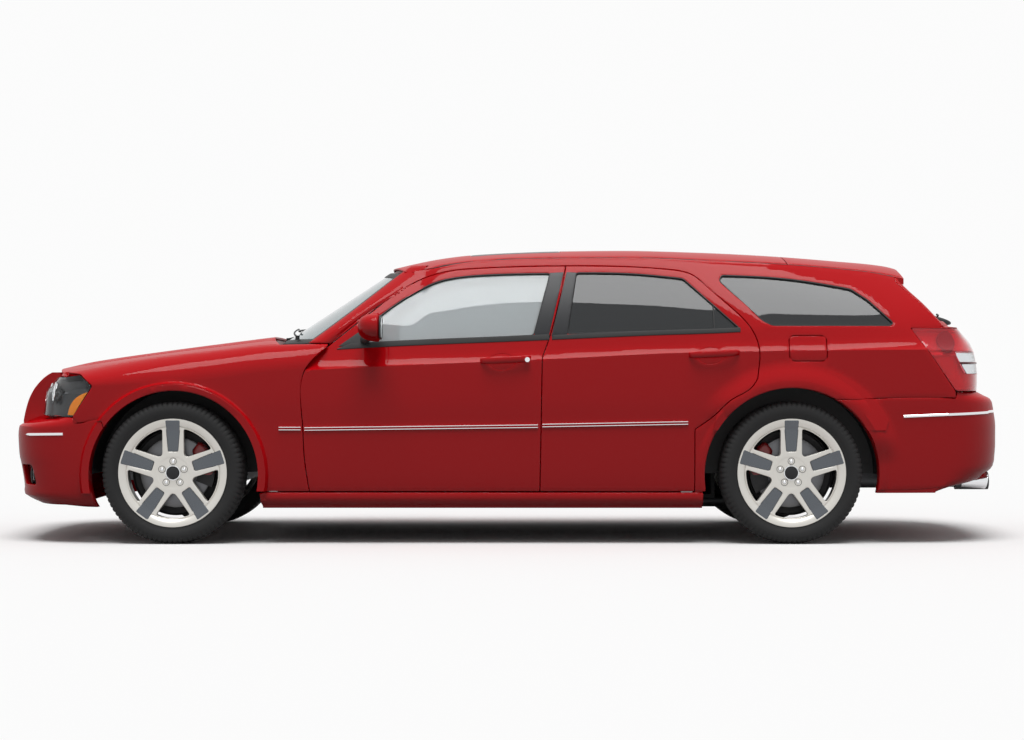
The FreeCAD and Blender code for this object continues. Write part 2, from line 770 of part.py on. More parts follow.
fuel_floor = -side_y(1480, 960) + fuel_recess_depth
fuel_recess = outline(closed(FUEL_DOOR), 0, (-1000, fuel_floor))
fuel_lid = skin(1370, 1590, fuel_lid_thickness).common(outline(closed(FUEL_DOOR), s.shut_gap - 1))
side_left = side_panel.cut(fuel_recess)
feature("body_sides", Part.makeCompound([side_left, mirrored(side_panel)]))
feature("fuel_door", fuel_lid)
feature("quarter_glass", both(pane(QUARTER_GLASS, 980, 1960)))


# Roof, up to the cut where the tailgate's hinges are
ditch = 5
sunroof_box = outline(closed([(-195, -330), (270, -330), (270, 330), (-195, 330)]), 0, (1300, 1600), "XY")
roof = roof_slab(header, ROOF_CUT - half_gap, s.skin_thickness, 14, 9, ditch)
feature("roof", roof.cut(sunroof_box))
sunroof_opening = outline(closed([(-195, -330), (270, -330), (270, 330), (-195, 330)]), s.seat_clearance,
                          (1300, 1600), "XY")
feature("sunroof", roof_slab(-250, 330, 8, 8, 9, ditch).common(sunroof_opening))


# Windscreen
def screen_grid(depth, low=989, high=1372):
    grid = []
    for z in spread(low, high, 8):
        half = screen_half(z) - 3 * s.seat_clearance
        row = []
        for y in spread(-half, half, 9):
            row.append(place(screen_x(y, z) + 0.55 * depth, y, z - 0.84 * depth))
        grid.append(row)
    return grid


feature("windscreen", slab(screen_grid(0), screen_grid(s.glass_thickness)))


# Front fenders
def fender_panel():
    lower = side_slab(-2300, -880, 150, shoulder, body_side,
                      lambda x, z: body_side(x, z) - s.skin_thickness, 18, 9)
    outer_grid, inner_grid = [], []
    for x in spread(-2300, -880, 18):
        z0, z1 = shoulder(x), smooth(HOOD_EDGE_Z, x)
        y0, y1 = body_side(x, z0), smooth(HOOD_EDGE_Y, x) + 3
        outer_row, inner_row = [], []
        for angle in spread(0, math.radians(78), 7):
            y = y1 + (y0 - y1) * math.cos(angle)
            z = z0 + (z1 - z0) * math.sin(angle) / math.sin(math.radians(78))
            outer_row.append(place(x, -y, z))
            drop = s.skin_thickness * math.sin(angle) * 0.6
            inner_row.append(place(x, -y + s.skin_thickness * (0.35 + 0.65 * math.cos(angle)), z - drop))
        outer_grid.append(outer_row)
        inner_grid.append(inner_row)
    brow = front_brow.common(block(-2200, -1100, -1000, -800, 250, 840))
    shape = lower.multiFuse([slab(outer_grid, inner_grid), brow])
    edge = [FENDER_DOOR, [(-890, 975), (-885, 1040)], [(-885, 1040), (-2340, 1040)],
            [(-2340, 1040), (-2205, 860)], [(-2205, 860), (-2117, 836)], [(-2117, 836), (-2050, 777)],
            [(-2050, 777), (-2150, 623)], [(-2150, 623), (-2140, FASCIA_TOP)],
            [(-2140, FASCIA_TOP), (-2000, 605)], [(-2000, 605), (-1900, 300)], [(-1900, 300), (-1300, 257)],
            [(-1300, 257), (-978, 257)]]
    shape = shape.common(outline(edge, half_gap))
    return shape.cut(front_arch)


fender = fender_panel()
feature("front_fenders", both(fender))


# Hood: a crowned panel; grown by the shut gap it trims what lies in front of it
def hood_slab(grow, above, below):
    top, under = [], []
    for step in spread(0, 1, 14):
        top_row, under_row = [], []
        for share in spread(-1, 1, 11):
            start = -2318 + 78 * abs(share) ** 2.5 - grow
            stop = -1216 + 80 * share * share
            x = start + (stop - start) * step
            y = share * (smooth(HOOD_EDGE_Y, x) - half_gap + grow)
            crown = hood_z(x, share * (smooth(HOOD_EDGE_Y, x) - half_gap))
            top_row.append(place(x, y, crown + above))
            under_row.append(place(x, y, crown - below))
        top.append(top_row)
        under.append(under_row)
    return slab(top, under)


feature("hood", hood_slab(0, 0, s.skin_thickness))
hood_space = hood_slab(s.shut_gap, 60, s.skin_thickness + s.shut_gap)


# Bumpers and corner pieces: plan curves stacked in height
def wrap_slab(levels, end_line, side_x, first_x, depth, count=21, power=2.6, root=3.0):
    """Slab that follows the side from first_x, goes round both corners and across the end."""
    outer_grid, inner_grid = [], []
    for z in levels:
        end_x = smooth(end_line, z)
        direction = 1 if end_x > 0 else -1
        rows = []
        for shrink in (0.0, depth):
            side = [(x, side_y(x, z) - shrink) for x in spread(first_x, side_x, 12)]
            bend = corner(side_x, end_x - direction * shrink, lambda x, h: side_y(x, h) - shrink,
                          z, count, power, root)
            half = even(side[:-1] + bend, count)
            full = [(x, -y) for x, y in half] + [(x, y) for x, y in half[-2::-1]]
            rows.append([place(x, y, z) for x, y in full])
        outer_grid.append(rows[0])
        inner_grid.append(rows[1])
    return slab(outer_grid, inner_grid)


GRILLE = closed([(-425, 618), (425, 618), (462, 822), (-462, 822)])
INTAKE = closed([(-520, 262), (520, 262), (470, 400), (-470, 400)])
FOG_LEFT = closed([(-770, 285), (-600, 285), (-600, 385), (-770, 385)])

FRONT_LEVELS = [178, 192, 213, 240, 270, 330, 400, 470, 530, 590, 650, 700, 750, 800, 845]
LAMP_LEVELS = FRONT_LEVELS[:9] + [565, 590, 606, 622, 650, 700, 750, 800, 845]


def front_wrap_slab(depth, set_back=0):
    return wrap_slab(FRONT_LEVELS, [(z, x + set_back) for z, x in NOSE_X], -1990, -1880, depth)


def lamp_wrap_slab(depth):
    return wrap_slab(LAMP_LEVELS, LAMP_X, -1990, -1880, depth)


bumper_zone = outline(closed([(-2600, 170), (-1900, 170), (-1900, 300), (-2000, 600), (-2140, FASCIA_TOP),
                              (-2150, 623), (-2305, 633), (-2284, 721), (-2246, 791), (-2203, 823),
                              (-2203, 870), (-2600, 870)]), 0, (-1100, 1100))
nose_zone = outline(closed([(-486, 588), (486, 588), (508, 850), (-508, 850)]), 0, (-2600, -2200), "YZ")
grille_hole = outline(GRILLE, 0, (-2600, -2100), "YZ")
intake_hole = outline(INTAKE, 0, (-2600, -2100), "YZ")
fog_hole = outline(FOG_LEFT, 0, (-2600, -2100), "YZ")
wide_arch = arch(front_axle + 5, s.arch_radius_front)
brow = front_brow.common(block(-2200, -1900, -1000, -800, 250, 620))
front_bumper = lamp_wrap_slab(60).multiFuse([brow, mirrored(brow)]).common(bumper_zone)
front_bumper = front_bumper.fuse(front_wrap_slab(165).common(nose_zone))
for cutter in (grille_hole, intake_hole, fog_hole, mirrored(fog_hole), wide_arch, mirrored(wide_arch),
               hood_space):
    front_bumper = front_bumper.cut(cutter)
front_bumper = largest(front_bumper)
feature("front_bumper", front_bumper)

lamp_zone = outline(closed(HEADLAMP), s.seat_clearance, (-1100, -508 - s.seat_clearance))
lamp = largest(lamp_wrap_slab(90).common(lamp_zone).cut(hood_space))
feature("headlamps", both(lamp))

# Grille: a frame in the nose with bars a little behind its face
grille_ring = outline(GRILLE, s.seat_clearance, (-2600, -2200), "YZ")
grille_ring = grille_ring.cut(outline(GRILLE, 22, (-2600, -2200), "YZ"))
bars = [block(-2600, -2200, -420 - 0.18 * (z - 618), 420 + 0.18 * (z - 618), z - 6, z + 6)
        for z in (652, 686, 720, 754, 788)]
bars += [block(-2600, -2200, y - 5, y + 5, 630, 812) for y in range(-360, 361, 90)]
grille = front_wrap_slab(40).common(grille_ring)
grille = grille.fuse(front_wrap_slab(14, 22).common(bars[0].multiFuse(bars[1:])))
feature("grille", largest(grille.cut(hood_space)))


# Rear bumper, tail lamps and tailgate
rear_wrap = wrap_slab([250, 258, 272, 290, 312, 335, 375, 440, 510, 580, 640, 690, BUMPER_TOP - 3],
                      TAIL_X, 2140, 1600, 60)
rear_bumper = rear_wrap.multiFuse([haunch, mirrored(haunch)])
rear_bumper = rear_bumper.common(outline(closed([(1600, 240), (2600, 240), (2600, BUMPER_TOP - 3),
                                                 (1600, BUMPER_TOP - 3)]), 0, (-1100, 1100)))
tip_y = 560.0
tip_z = 297.0
tip_space = Part.makeCylinder(s.tip_radius + 8, 760, place(1860, -tip_y, tip_z), Vector(1, 0, 0))
rear_bumper = rear_bumper.cut(rear_arch.multiFuse([mirrored(rear_arch), tip_space, mirrored(tip_space)]))
rear_bumper = largest(rear_bumper)
feature("rear_bumper", rear_bumper)

gate_levels = [722, 765, 828, 880, 930, 979, 1035, 1066]
gate_wrap = wrap_slab(gate_levels, GATE_X, 2190, 1960, 70)
glass_levels = [1066, 1100, 1150, 1200, 1250, 1300]
back_wrap = wrap_slab(glass_levels, GATE_X, 1850, 1800, 40, 21, 3.2, 3.2)
BACK_GLASS = closed([(-600, 1105), (600, 1105), (505, 1292), (-505, 1292)])
gate_zone = outline(GATE, half_gap, (1900, 2600), "YZ")
gate_cap = roof_slab(ROOF_CUT + half_gap, 2000, s.skin_thickness, 10, 9, ditch)
gate_low = gate_wrap.common(gate_zone)
gate_high = back_wrap.common(gate_zone)
back_glass_hole = outline(BACK_GLASS, 0, (1900, 2600), "YZ")
tailgate = gate_low.multiFuse([gate_high, gate_cap]).cut(back_glass_hole)
feature("tailgate", tailgate)
glass_wrap = wrap_slab(glass_levels, [(z, x - 12) for z, x in GATE_X], 1850, 1800, 5, 21, 3.2, 3.2)
feature("tailgate_glass", glass_wrap.common(outline(BACK_GLASS, s.seat_clearance, (1900, 2600), "YZ")))
tail_lamp = gate_wrap.common(outline(closed(TAIL_LAMP), s.seat_clearance, (-1100, 0)))
tail_lamp = tail_lamp.cut(outline(GATE, -half_gap, (1900, 2600), "YZ"))
feature("tail_lamps", both(tail_lamp))


# Cowl, between the hood and the windscreen
cowl_top, cowl_under = [], []
for share in spread(-1, 1, 9):
    y = share * 752
    front = -1216 + 80 * share * share + s.shut_gap
    back = screen_x(y, 989) + 22
    cowl_top.append([place(x, y, 984.4) for x in spread(front, back, 4)])
    cowl_under.append([place(x, y, 955) for x in spread(front, back, 4)])
cowl = slab(cowl_top, cowl_under)
feature("cowl", cowl)


# Floor, tunnel, firewall and load floor: one pressing of even thickness
load_y = 636.0
load_x = 1022.0


def tunnel_section(x):
    points = [(-floor_y, 215), (-150, 215), (-110, 345), (110, 345), (150, 215), (floor_y, 215),
              (floor_y, 232), (158, 232), (120, 362), (-120, 362), (-158, 232), (-floor_y, 232)]
    return Part.makePolygon([place(x, y, z) for y, z in points + points[:1]])


floor = Part.Face(tunnel_section(-1150)).extrude(Vector(at(905) - at(-1150), 0, 0))
seat_floor = block(880, load_x, -load_y, load_y, 215, 232)
firewall = block(-1150, -1132, -740, 740, 232, 940)
kick_up = block(load_x, load_x + 18, -load_y, load_y, 215, 540)
load_floor = block(load_x, 2440, -load_y, load_y, 522, 540)
rail_y = s.well_inner_y - s.seat_clearance
front_rail = largest(block(-2480, -1140, -rail_y, -rail_y + 70, 380, 470).cut(front_bumper))
floor_pan = floor.multiFuse([firewall, seat_floor, kick_up, load_floor, front_rail, mirrored(front_rail)])
floor_pan = largest(floor_pan.cut(rear_bumper))
feature("floor_pan", floor_pan)


# Wheel housings: a half round shell and an inner wall
def housing(axle_x, radius, wall_y, outer_y, crown_z=None):
    shell_outer = Part.makeCylinder(radius + s.liner_wall, out(outer_y - wall_y),
                                    Vector(axle_x, out(-outer_y), s.arch_centre_z), Vector(0, 1, 0))
    shell_inner = Part.makeCylinder(radius, out(outer_y - wall_y) - s.liner_wall,
                                    Vector(axle_x, out(-outer_y), s.arch_centre_z), Vector(0, 1, 0))
    shell = shell_outer.cut(shell_inner)
    keep = Part.makeBox(4 * radius, 1200, 2 * radius, Vector(axle_x - 2 * radius, -1300, s.arch_centre_z))
    return shell.common(keep)


front_housing = housing(front_axle + 5, s.arch_radius_front + 8, s.well_inner_y, 890)
front_housing = largest(front_housing.cut(fender.fuse(front_bumper)))
rear_housing = housing(rear_axle + 2, s.arch_radius_rear + 8, load_y + s.seat_clearance, 860)
shaft_hole = Part.makeCylinder(60, 400, Vector(rear_axle, -900, s.tyre_radius), Vector(0, 1, 0))
rear_housing = largest(rear_housing.cut(side_panel.multiFuse([rear_bumper, shaft_hole])))
feature("front_wheel_housings", both(front_housing))
feature("rear_wheel_housings", both(rear_housing))


# Cabin: seats, dashboard and steering wheel
def seat(side, y, width, head_width):
    """Front seat: cushion, backrest, head restraint, its posts and the rails on the floor."""
    half = width / 2
    return joined(f"front_seat_{side}", [
        box(f"cushion_{side}", x_seat, x_seat + 520, y - half, y + half, 380, 520, 40),
        box(f"backrest_{side}", x_seat + 430, x_seat + 560, y - half, y + half, 480, 1010, 50, 14),
        box(f"head_{side}", x_seat + 565, x_seat + 660, y - head_width / 2, y + head_width / 2,
            1030, 1190, 40, 8),
        box(f"head_post_{side}", x_seat + 585, x_seat + 600, y - 60, y + 60, 960, 1080),
        box(f"seat_rails_{side}", x_seat + 40, x_seat + 480, y - half + 75, y + half - 75, floor_top, 400)])


x_seat = -420
floor_top = 232 + s.seat_clearance
both_seats = [seat("left", -370, 510, 250), seat("right", 370, 510, 250)]
node(joined("front_seats", both_seats, "Compound"), "front_seats")
rear_base = less("rear_base", box("rear_box", 470, 870, -600, 600, floor_top, 420),
                 box("rear_tunnel", 400, 1000, -175, 175, 200, 372))
rear_pieces = [box("rear_cushion", 420, 900, -640, 640, 380, 530, 45),
               box("rear_backrest", 800, 905, -632, 632, 470, 1040, 45, 16), rear_base]
for name, y in (("left", -380), ("right", 380)):
    rear_pieces.append(box(f"rear_head_{name}", 985, 1070, y - 125, y + 125, 1010, 1150, 35, 8))
    rear_pieces.append(box(f"rear_head_post_{name}", 1012, 1026, y - 60, y + 60, 960, 1060))
node(joined("rear_seat", rear_pieces), "rear_seat")

dash_profile = [(-1131.7, 560), (-1131.7, 925), (-1000, 948), (-820, 930), (-760, 860), (-800, 760),
                (-900, 620)]
dash_body = doc.addObject("PartDesign::Body", "dash_body")
padded(dash_body, "XZ_Plane", [(at(x), up(z)) for x, z in dash_profile], out(1400))

# Steering wheel on its column; the column's bearing goes through the dashboard
wheel_centre = place(-640, -370, 860)
axis = Vector(-1, 0, -0.45)
axis.normalize()
tilt = Rotation(Vector(0, 0, 1), axis)
column_radius = 32.0
bearing = primitive("Cylinder", "column_bearing",
                    {"Radius": cell("seat_clearance", 1, column_radius), "Height": 150},
                    Placement(wheel_centre + axis * 30, tilt))
node(less("dashboard", dash_body, bearing), "dashboard")
steering_parts = [
    primitive("Torus", "steering_rim", {"Radius1": cell("steering_wheel_radius"), "Radius2": 15},
              Placement(wheel_centre, tilt)),
    primitive("Cylinder", "steering_hub", {"Radius": 70, "Height": 45}, Placement(wheel_centre, tilt)),
    primitive("Cylinder", "steering_column", {"Radius": column_radius, "Height": 140},
              Placement(wheel_centre + axis * 40, tilt)),
    primitive("Box", "steering_spokes",
              {"Length": 18, "Width": cell("steering_wheel_radius", 2, -20), "Height": 44},
              Placement(wheel_centre + Vector(-9, 10 - s.steering_wheel_radius, -22), Rotation()))]
node(joined("steering_wheel", steering_parts), "steering_wheel")

# Engine: one plain block where the engine sits
node(primitive("Box", "engine_block", {"Length": cell("engine_length"), "Width": cell("engine_width"),
                                       "Height": cell("engine_height")},
               Placement(Vector(front_axle - s.engine_length / 2, -s.engine_width / 2, 290), Rotation())),
     "engine_block")


# Wheels, in their own frame: Z points out of the car, Y is up
def revolved(profile):
    wire = Part.makePolygon([Vector(r, 0, z) for r, z in profile + profile[:1]])
    return Part.Face(wire).revolve(Vector(0, 0, 0), Vector(0, 0, 1), 360)


bead = s.rim_radius - 14
bead_z = s.rim_width / 2 - 12
half_outer = [cell("tyre_width", 0.5, -inset) for inset in (0, 8, 10, 12, 24, 34, 44)]
half_inner = [cell("tyre_width", -0.5, inset) for inset in (0, 8, 10, 12, 24, 34, 44)]
TYRE = [(bead, -bead_z), (bead + 17, -bead_z), (bead + 27, half_inner[3]), (bead + 50, half_inner[0]),
        (cell("tyre_radius", 1, -22), half_inner[1]), (cell("tyre_radius", 1, -4), half_inner[4]),
        (cell("tyre_radius"), half_inner[6]), (cell("tyre_radius"), half_outer[6]),
        (cell("tyre_radius", 1, -4), half_outer[4]), (cell("tyre_radius", 1, -22), half_outer[1]),
        (bead + 50, half_outer[0]), (bead + 27, half_outer[3]), (bead + 17, bead_z), (bead, bead_z),
        (bead, bead_z - 14), (bead + 45, half_outer[2]), (cell("tyre_radius", 1, -18), half_outer[5]),
        (cell("tyre_radius", 1, -18), half_inner[5]), (bead + 45, half_inner[2]), (bead, -bead_z + 14)]

half_rim = s.rim_width / 2
face_z = half_rim - 14
disc_z = 0.0
bore = s.stub_radius + s.stub_clearance
seat_r = bead - s.seat_clearance
mount_z = cell("rim_offset")
web_back = face_z - 1 - s.spoke_depth
RIM = [(bore, mount_z), (cell("hub_radius"), mount_z), (88, web_back - 2),
       (cell("window_radius", 1, 6), web_back),
       (cell("window_radius", 1, 6), cell("rim_width", -0.5, 50)), (seat_r - 8, cell("rim_width", -0.5)),
       (cell("rim_radius"), cell("rim_width", -0.5)), (cell("rim_radius"), cell("rim_width", -0.5, 6)),
       (seat_r, cell("rim_width", -0.5, 10)), (seat_r, cell("rim_width", -0.5, 40)),
       (cell("window_radius", 1, 14), cell("rim_width", -0.5, 60)),
       (cell("window_radius", 1, 14), cell("rim_width", 0.5, -50)), (seat_r, cell("rim_width", 0.5, -36)),
       (seat_r, cell("rim_width", 0.5, -10)), (cell("rim_radius"), cell("rim_width", 0.5, -6)),
       (cell("rim_radius"), cell("rim_width", 0.5)),
       (cell("window_radius", 1, 12), cell("rim_width", 0.5, -8)),
       (cell("window_radius"), face_z - 9), (80, face_z - 11), (74, face_z - 20), (bore, face_z - 20)]
CAP = [(0, face_z - 34), (bore + 4, face_z - 34), (bore + 4, face_z - 2), (bore - 6, face_z + 3),
       (0, face_z + 5)]
DISC = [(bore, 16), (76, 16), (76, disc_z - s.disc_thickness),
        (cell("disc_radius"), disc_z - s.disc_thickness), (cell("disc_radius"), disc_z), (88, disc_z),
        (88, 28),
        (72, 28), (72, 41), (bore, 41)]


def window(body):
    """Opening between two spokes: two lines that follow the spokes and two arcs about the hub."""
    plan = body.newObject("Sketcher::SketchObject", f"{body.Name}_window")
    plan.AttachmentSupport = [(next(f for f in body.Origin.OriginFeatures if "XY_Plane" in f.Name), "")]
    plan.MapMode = "FlatFace"
    plan.AttachmentOffset = Placement(Vector(0, 0, face_z + 20), Rotation())
    step, middle_angle = math.pi / s.spoke_count, math.pi / 2 + math.pi / s.spoke_count
    radii = (s.hub_radius + 25, s.window_radius - 1)
    spans = [step - math.asin((s.spoke_width / 2 + 1) / radius) for radius in radii]
    ends = []
    for radius, span in zip(radii, spans):
        angles = (middle_angle - span, middle_angle + span)
        ends.append([Vector(radius * math.cos(angle), radius * math.sin(angle), 0) for angle in angles])
    for radius, span in zip(radii, spans):
        circle = Part.Circle(Vector(), Vector(0, 0, 1), radius)
        plan.addGeometry(Part.ArcOfCircle(circle, middle_angle - span, middle_angle + span), False)
    for k in (0, 1):
        plan.addGeometry(Part.LineSegment(ends[0][k], ends[1][k]), False)
    for arc in (0, 1):
        plan.addConstraint(Sketcher.Constraint("Coincident", arc, 3, -1, 1))
        for k in (0, 1):
            plan.addConstraint(Sketcher.Constraint("Coincident", arc, k + 1, 2 + k, arc + 1))
    inner = plan.addConstraint(Sketcher.Constraint("Radius", 0, radii[0]))
    plan.setExpression(f"Constraints[{inner}]", "Sizes.hub_radius + 25")
    outer = plan.addConstraint(Sketcher.Constraint("Radius", 1, radii[1]))
    plan.setExpression(f"Constraints[{outer}]", "Sizes.window_radius - 1")
    for arc in (0, 1):
        for k in (0, 1):
            plan.addConstraint(Sketcher.Constraint("DistanceX", -1, 1, 2 + k, arc + 1, ends[arc][k].x))
    return plan


def lug_hole(body):
    """Hole for one wheel bolt."""
    plan = body.newObject("Sketcher::SketchObject", f"{body.Name}_lug_hole")
    plan.AttachmentSupport = [(next(f for f in body.Origin.OriginFeatures if "XY_Plane" in f.Name), "")]
    plan.MapMode = "FlatFace"
    plan.AttachmentOffset = Placement(Vector(0, 0, face_z), Rotation())
    plan.addGeometry(Part.Circle(Vector(0, s.lug_circle / 2, 0), Vector(0, 0, 1), s.lug_radius), False)
    plan.addConstraint(Sketcher.Constraint("PointOnObject", 0, 3, -2))
    height = plan.addConstraint(Sketcher.Constraint("DistanceY", -1, 1, 0, 3, s.lug_circle / 2))
    plan.setExpression(f"Constraints[{height}]", "Sizes.lug_circle / 2")
    radius = plan.addConstraint(Sketcher.Constraint("Radius", 0, s.lug_radius))
    plan.setExpression(f"Constraints[{radius}]", "Sizes.lug_radius")
    return plan


def wheel_body(name):
    """Wheel with its brake disc: turned rim and web, windows, spoke recesses, bolt holes and cap."""
    body = doc.addObject("PartDesign::Body", name)
    turned(body, RIM)
    pocketed(body, window(body), 75, cell("spoke_count"))
    recess = profile(body, "XY_Plane", [(-28, 108), (28, 108), (33, 214), (-33, 214)], face_z)
    pocketed(body, recess, 14, cell("spoke_count"))
    pocketed(body, lug_hole(body), 34, cell("lug_count"))
    turned(body, CAP)
    turned(body, DISC)
    return body


def tyre_body(name):
    body = doc.addObject("PartDesign::Body", name)
    turned(body, TYRE)
    return body


FACING = {"left": Rotation(Vector(1, 0, 0), 90), "right": Rotation(Vector(0, 1, 1), 180)}
wheel_y = s.track / 2


def corner_place(axle_x, side):
    y = -wheel_y if side == "left" else wheel_y
    return Placement(Vector(axle_x, y, s.tyre_radius), FACING[side])


def placed(name, shape, placement):
    item = feature(name, shape)
    item.Placement = placement
    return item


for end, axle_x in (("front", front_axle), ("rear", rear_axle)):
    for side in ("left", "right"):
        for name, make in ((f"tyre_{end}_{side}", tyre_body), (f"wheel_{end}_{side}", wheel_body)):
            body = node(make(name), name)
            body.Placement = corner_place(axle_x, side)


# Knuckles: hub stub, upright and caliper; the caliper straddles the disc
def caliper(angle, slot):
    grip = revolved([(s.disc_radius - 62, disc_z + 30), (s.disc_radius + 22, disc_z + 30),
                     (s.disc_radius + 22, disc_z - s.disc_thickness - 34),
                     (s.disc_radius - 62, disc_z - s.disc_thickness - 34)])
    opening = revolved([(s.disc_radius - 70, disc_z + slot), (s.disc_radius + slot, disc_z + slot),
                        (s.disc_radius + slot, disc_z - s.disc_thickness - slot),
                        (s.disc_radius - 70, disc_z - s.disc_thickness - slot)])
    sector = Part.makeCylinder(400, 300, Vector(0, 0, -150), Vector(0, 0, 1), 64)
    sector.rotate(Vector(0, 0, 0), Vector(0, 0, 1), angle)
    return grip.common(sector).cut(opening)


inner_z = disc_z - s.disc_thickness - 5
stub_end = face_z - 34 - s.seat_clearance
stub = revolved([(0, inner_z - 20), (s.stub_radius, inner_z - 20), (s.stub_radius, stub_end), (0, stub_end)])
upright = Part.makeBox(90, 300, 40, Vector(-45, -150, inner_z - 44))
bracket = revolved([(40, inner_z - 30), (s.disc_radius + 20, inner_z - 30),
                    (s.disc_radius + 20, inner_z - 10), (40, inner_z - 10)])


def carrier(angle):
    sector = Part.makeCylinder(400, 300, Vector(0, 0, -150), Vector(0, 0, 1), 50)
    sector.rotate(Vector(0, 0, 0), Vector(0, 0, 1), angle + 7)
    return stub.multiFuse([upright, bracket.common(sector), caliper(angle, 5.0)])


# The front calipers sit behind the axle and the rear ones ahead of it
BEHIND = {"left": -22, "right": 138}
AHEAD = {"left": 148, "right": -32}
for side in ("left", "right"):
    placed(f"knuckle_{side}", carrier(BEHIND[side]), corner_place(front_axle, side))
rear_carriers = []
for side in ("left", "right"):
    shape = carrier(AHEAD[side])
    shape.Placement = corner_place(rear_axle, side)
    rear_carriers.append(shape)

# Suspension: cross beams and arms that reach the uprights
upright_low = s.tyre_radius - 150
arm_top = upright_low - s.seat_clearance
arm_depth = 30.0


def beam_and_arms(axle_x, wall, inner_y):
    """Cross beam, a lower arm each side and the eye under each upright's steering axis."""
    beam = Part.makeBox(140, 2 * wall, 60, Vector(axle_x - 70, -wall, arm_top - 45))
    arm = Part.makeBox(56, inner_y - wall, arm_depth, Vector(axle_x - 28, wall, arm_top - arm_depth))
    eye = Part.makeCylinder(30, arm_depth, Vector(axle_x, inner_y, arm_top - arm_depth))
    return [beam, arm, eye, mirrored(arm), mirrored(eye)]


def post(x0, x1, y0, y1, z0, z1):
    """Pair of upright blocks, one on each side."""
    one = Part.makeBox(x1 - x0, y1 - y0, z1 - z0, Vector(x0, y0, z0))
    return [one, mirrored(one)]


engine_bottom = 290
base = Vector(front_axle, 0, arm_top)
front_parts = [
    primitive("Box", "front_beam", {"Length": 140, "Width": 890, "Height": 60},
              Placement(base + Vector(-70, -445, -45), Rotation()))]
for side, sign in (("left", -1), ("right", 1)):
    low = min(sign * 445, sign * s.steer_axis_y)
    front_parts += [
        primitive("Box", f"front_arm_{side}",
                  {"Length": 56, "Width": cell("steer_axis_y", 1, -445), "Height": arm_depth},
                  Placement(base + Vector(-28, low, -arm_depth), Rotation())),
        primitive("Cylinder", f"front_eye_{side}", {"Radius": 30, "Height": arm_depth},
                  Placement(base + Vector(0, sign * s.steer_axis_y, -arm_depth), Rotation())),
        primitive("Box", f"engine_mount_{side}",
                  {"Length": 120, "Width": 80, "Height": engine_bottom - s.seat_clearance - arm_top + 20},
                  Placement(base + Vector(-60, min(sign * 180, sign * 260), -20), Rotation())),
        primitive("Box", f"rail_post_{side}",
                  {"Length": 100, "Width": 35, "Height": 380 - s.seat_clearance - arm_top + 45},
                  Placement(base + Vector(-50, min(sign * 405, sign * 440), -45), Rotation()))]
node(joined("front_suspension", front_parts), "front_suspension")
differential = Part.makeSphere(120, Vector(rear_axle, 0, s.tyre_radius))
shafts = Part.makeCylinder(18, 2 * (wheel_y - 60), Vector(rear_axle, 60 - wheel_y, s.tyre_radius),
                           Vector(0, 1, 0))
neck = Part.makeBox(60, 60, 160, Vector(rear_axle - 30, -30, arm_top - 20))
load_posts = post(rear_axle - 60, rear_axle + 60, 330, 400, arm_top - 20, 522 - s.seat_clearance)
rear_parts = beam_and_arms(rear_axle, 440, s.steer_axis_y) + [differential, shafts, neck] + load_posts
feature("rear_suspension", rear_parts[0].multiFuse(rear_parts[1:] + rear_carriers))

# Exhaust: two pipes ahead of the rear axle, and behind it a silencer and a tip each side
hanger_top = 215 - s.seat_clearance
along = Vector(1, 0, 0)
pipe = Part.makeCylinder(s.exhaust_radius, at(1120) - at(-1000), Vector(at(-1000), -240, 180), along)
hanger = Part.makeBox(30, 20, hanger_top - 190, Vector(at(-200), -250, 190))
silencer = block(1560, 1880, -tip_y - 70, -tip_y + 70, 262, 395)
silencer = silencer.makeFillet(50, [edge for edge in silencer.Edges if edge.BoundBox.XLength > 200])
tail_pipe = Part.makeCylinder(s.exhaust_radius, at(2290) - at(1870), place(1870, -tip_y, tip_z), along)
tip = Part.makeCylinder(s.tip_radius, at(2428) - at(2262), place(2262, -tip_y, tip_z), along)
tip = tip.cut(Part.makeCylinder(s.tip_radius - 4, 200, place(2300, -tip_y, tip_z), along))
strap = block(1700, 1740, -tip_y - 20, -tip_y + 20, 385, 522 - s.seat_clearance)
behind = silencer.multiFuse([tail_pipe, tip, strap])
feature("exhaust", both(Part.makeCompound([pipe.fuse(hanger), behind])))


# Door mirrors: shell on an arm from the sail at the front corner of the window
def mirror_shell():
    shell = block(-734, -606, -1080, -868, 1000, 1134)
    shell = shell.makeFillet(38, shell.Edges)
    arm = block(-716, -650, -900, -826, 990, 1024)
    shape = shell.fuse(arm)
    return shape.cut(pane_space)


pane_space = front_door.fuse(pane(FRONT_GLASS, -860, 260))
mirror = mirror_shell()
mirror_solid = max(mirror.Solids, key=lambda solid: solid.Volume)
feature("mirror_left", mirror_solid)
feature("mirror_right", mirrored(mirror_solid))

doc.recompute()
for item in NODES:
    broken = "Invalid" in item.State or "Error" in item.State
    if broken or item.Shape.isNull() or not item.Shape.isValid():
        raise RuntimeError(f"{item.Label} has no valid shape")
    print(item.Label, len(item.Shape.Solids), round(item.Shape.Volume / 1e6, 2), item.Shape.BoundBox)
for item in NODES:
    item.Shape.exportStep(os.path.join(OUT, f"{item.Label}.step"))
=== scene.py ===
import math

import bpy
import numpy as np
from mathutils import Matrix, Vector, geometry


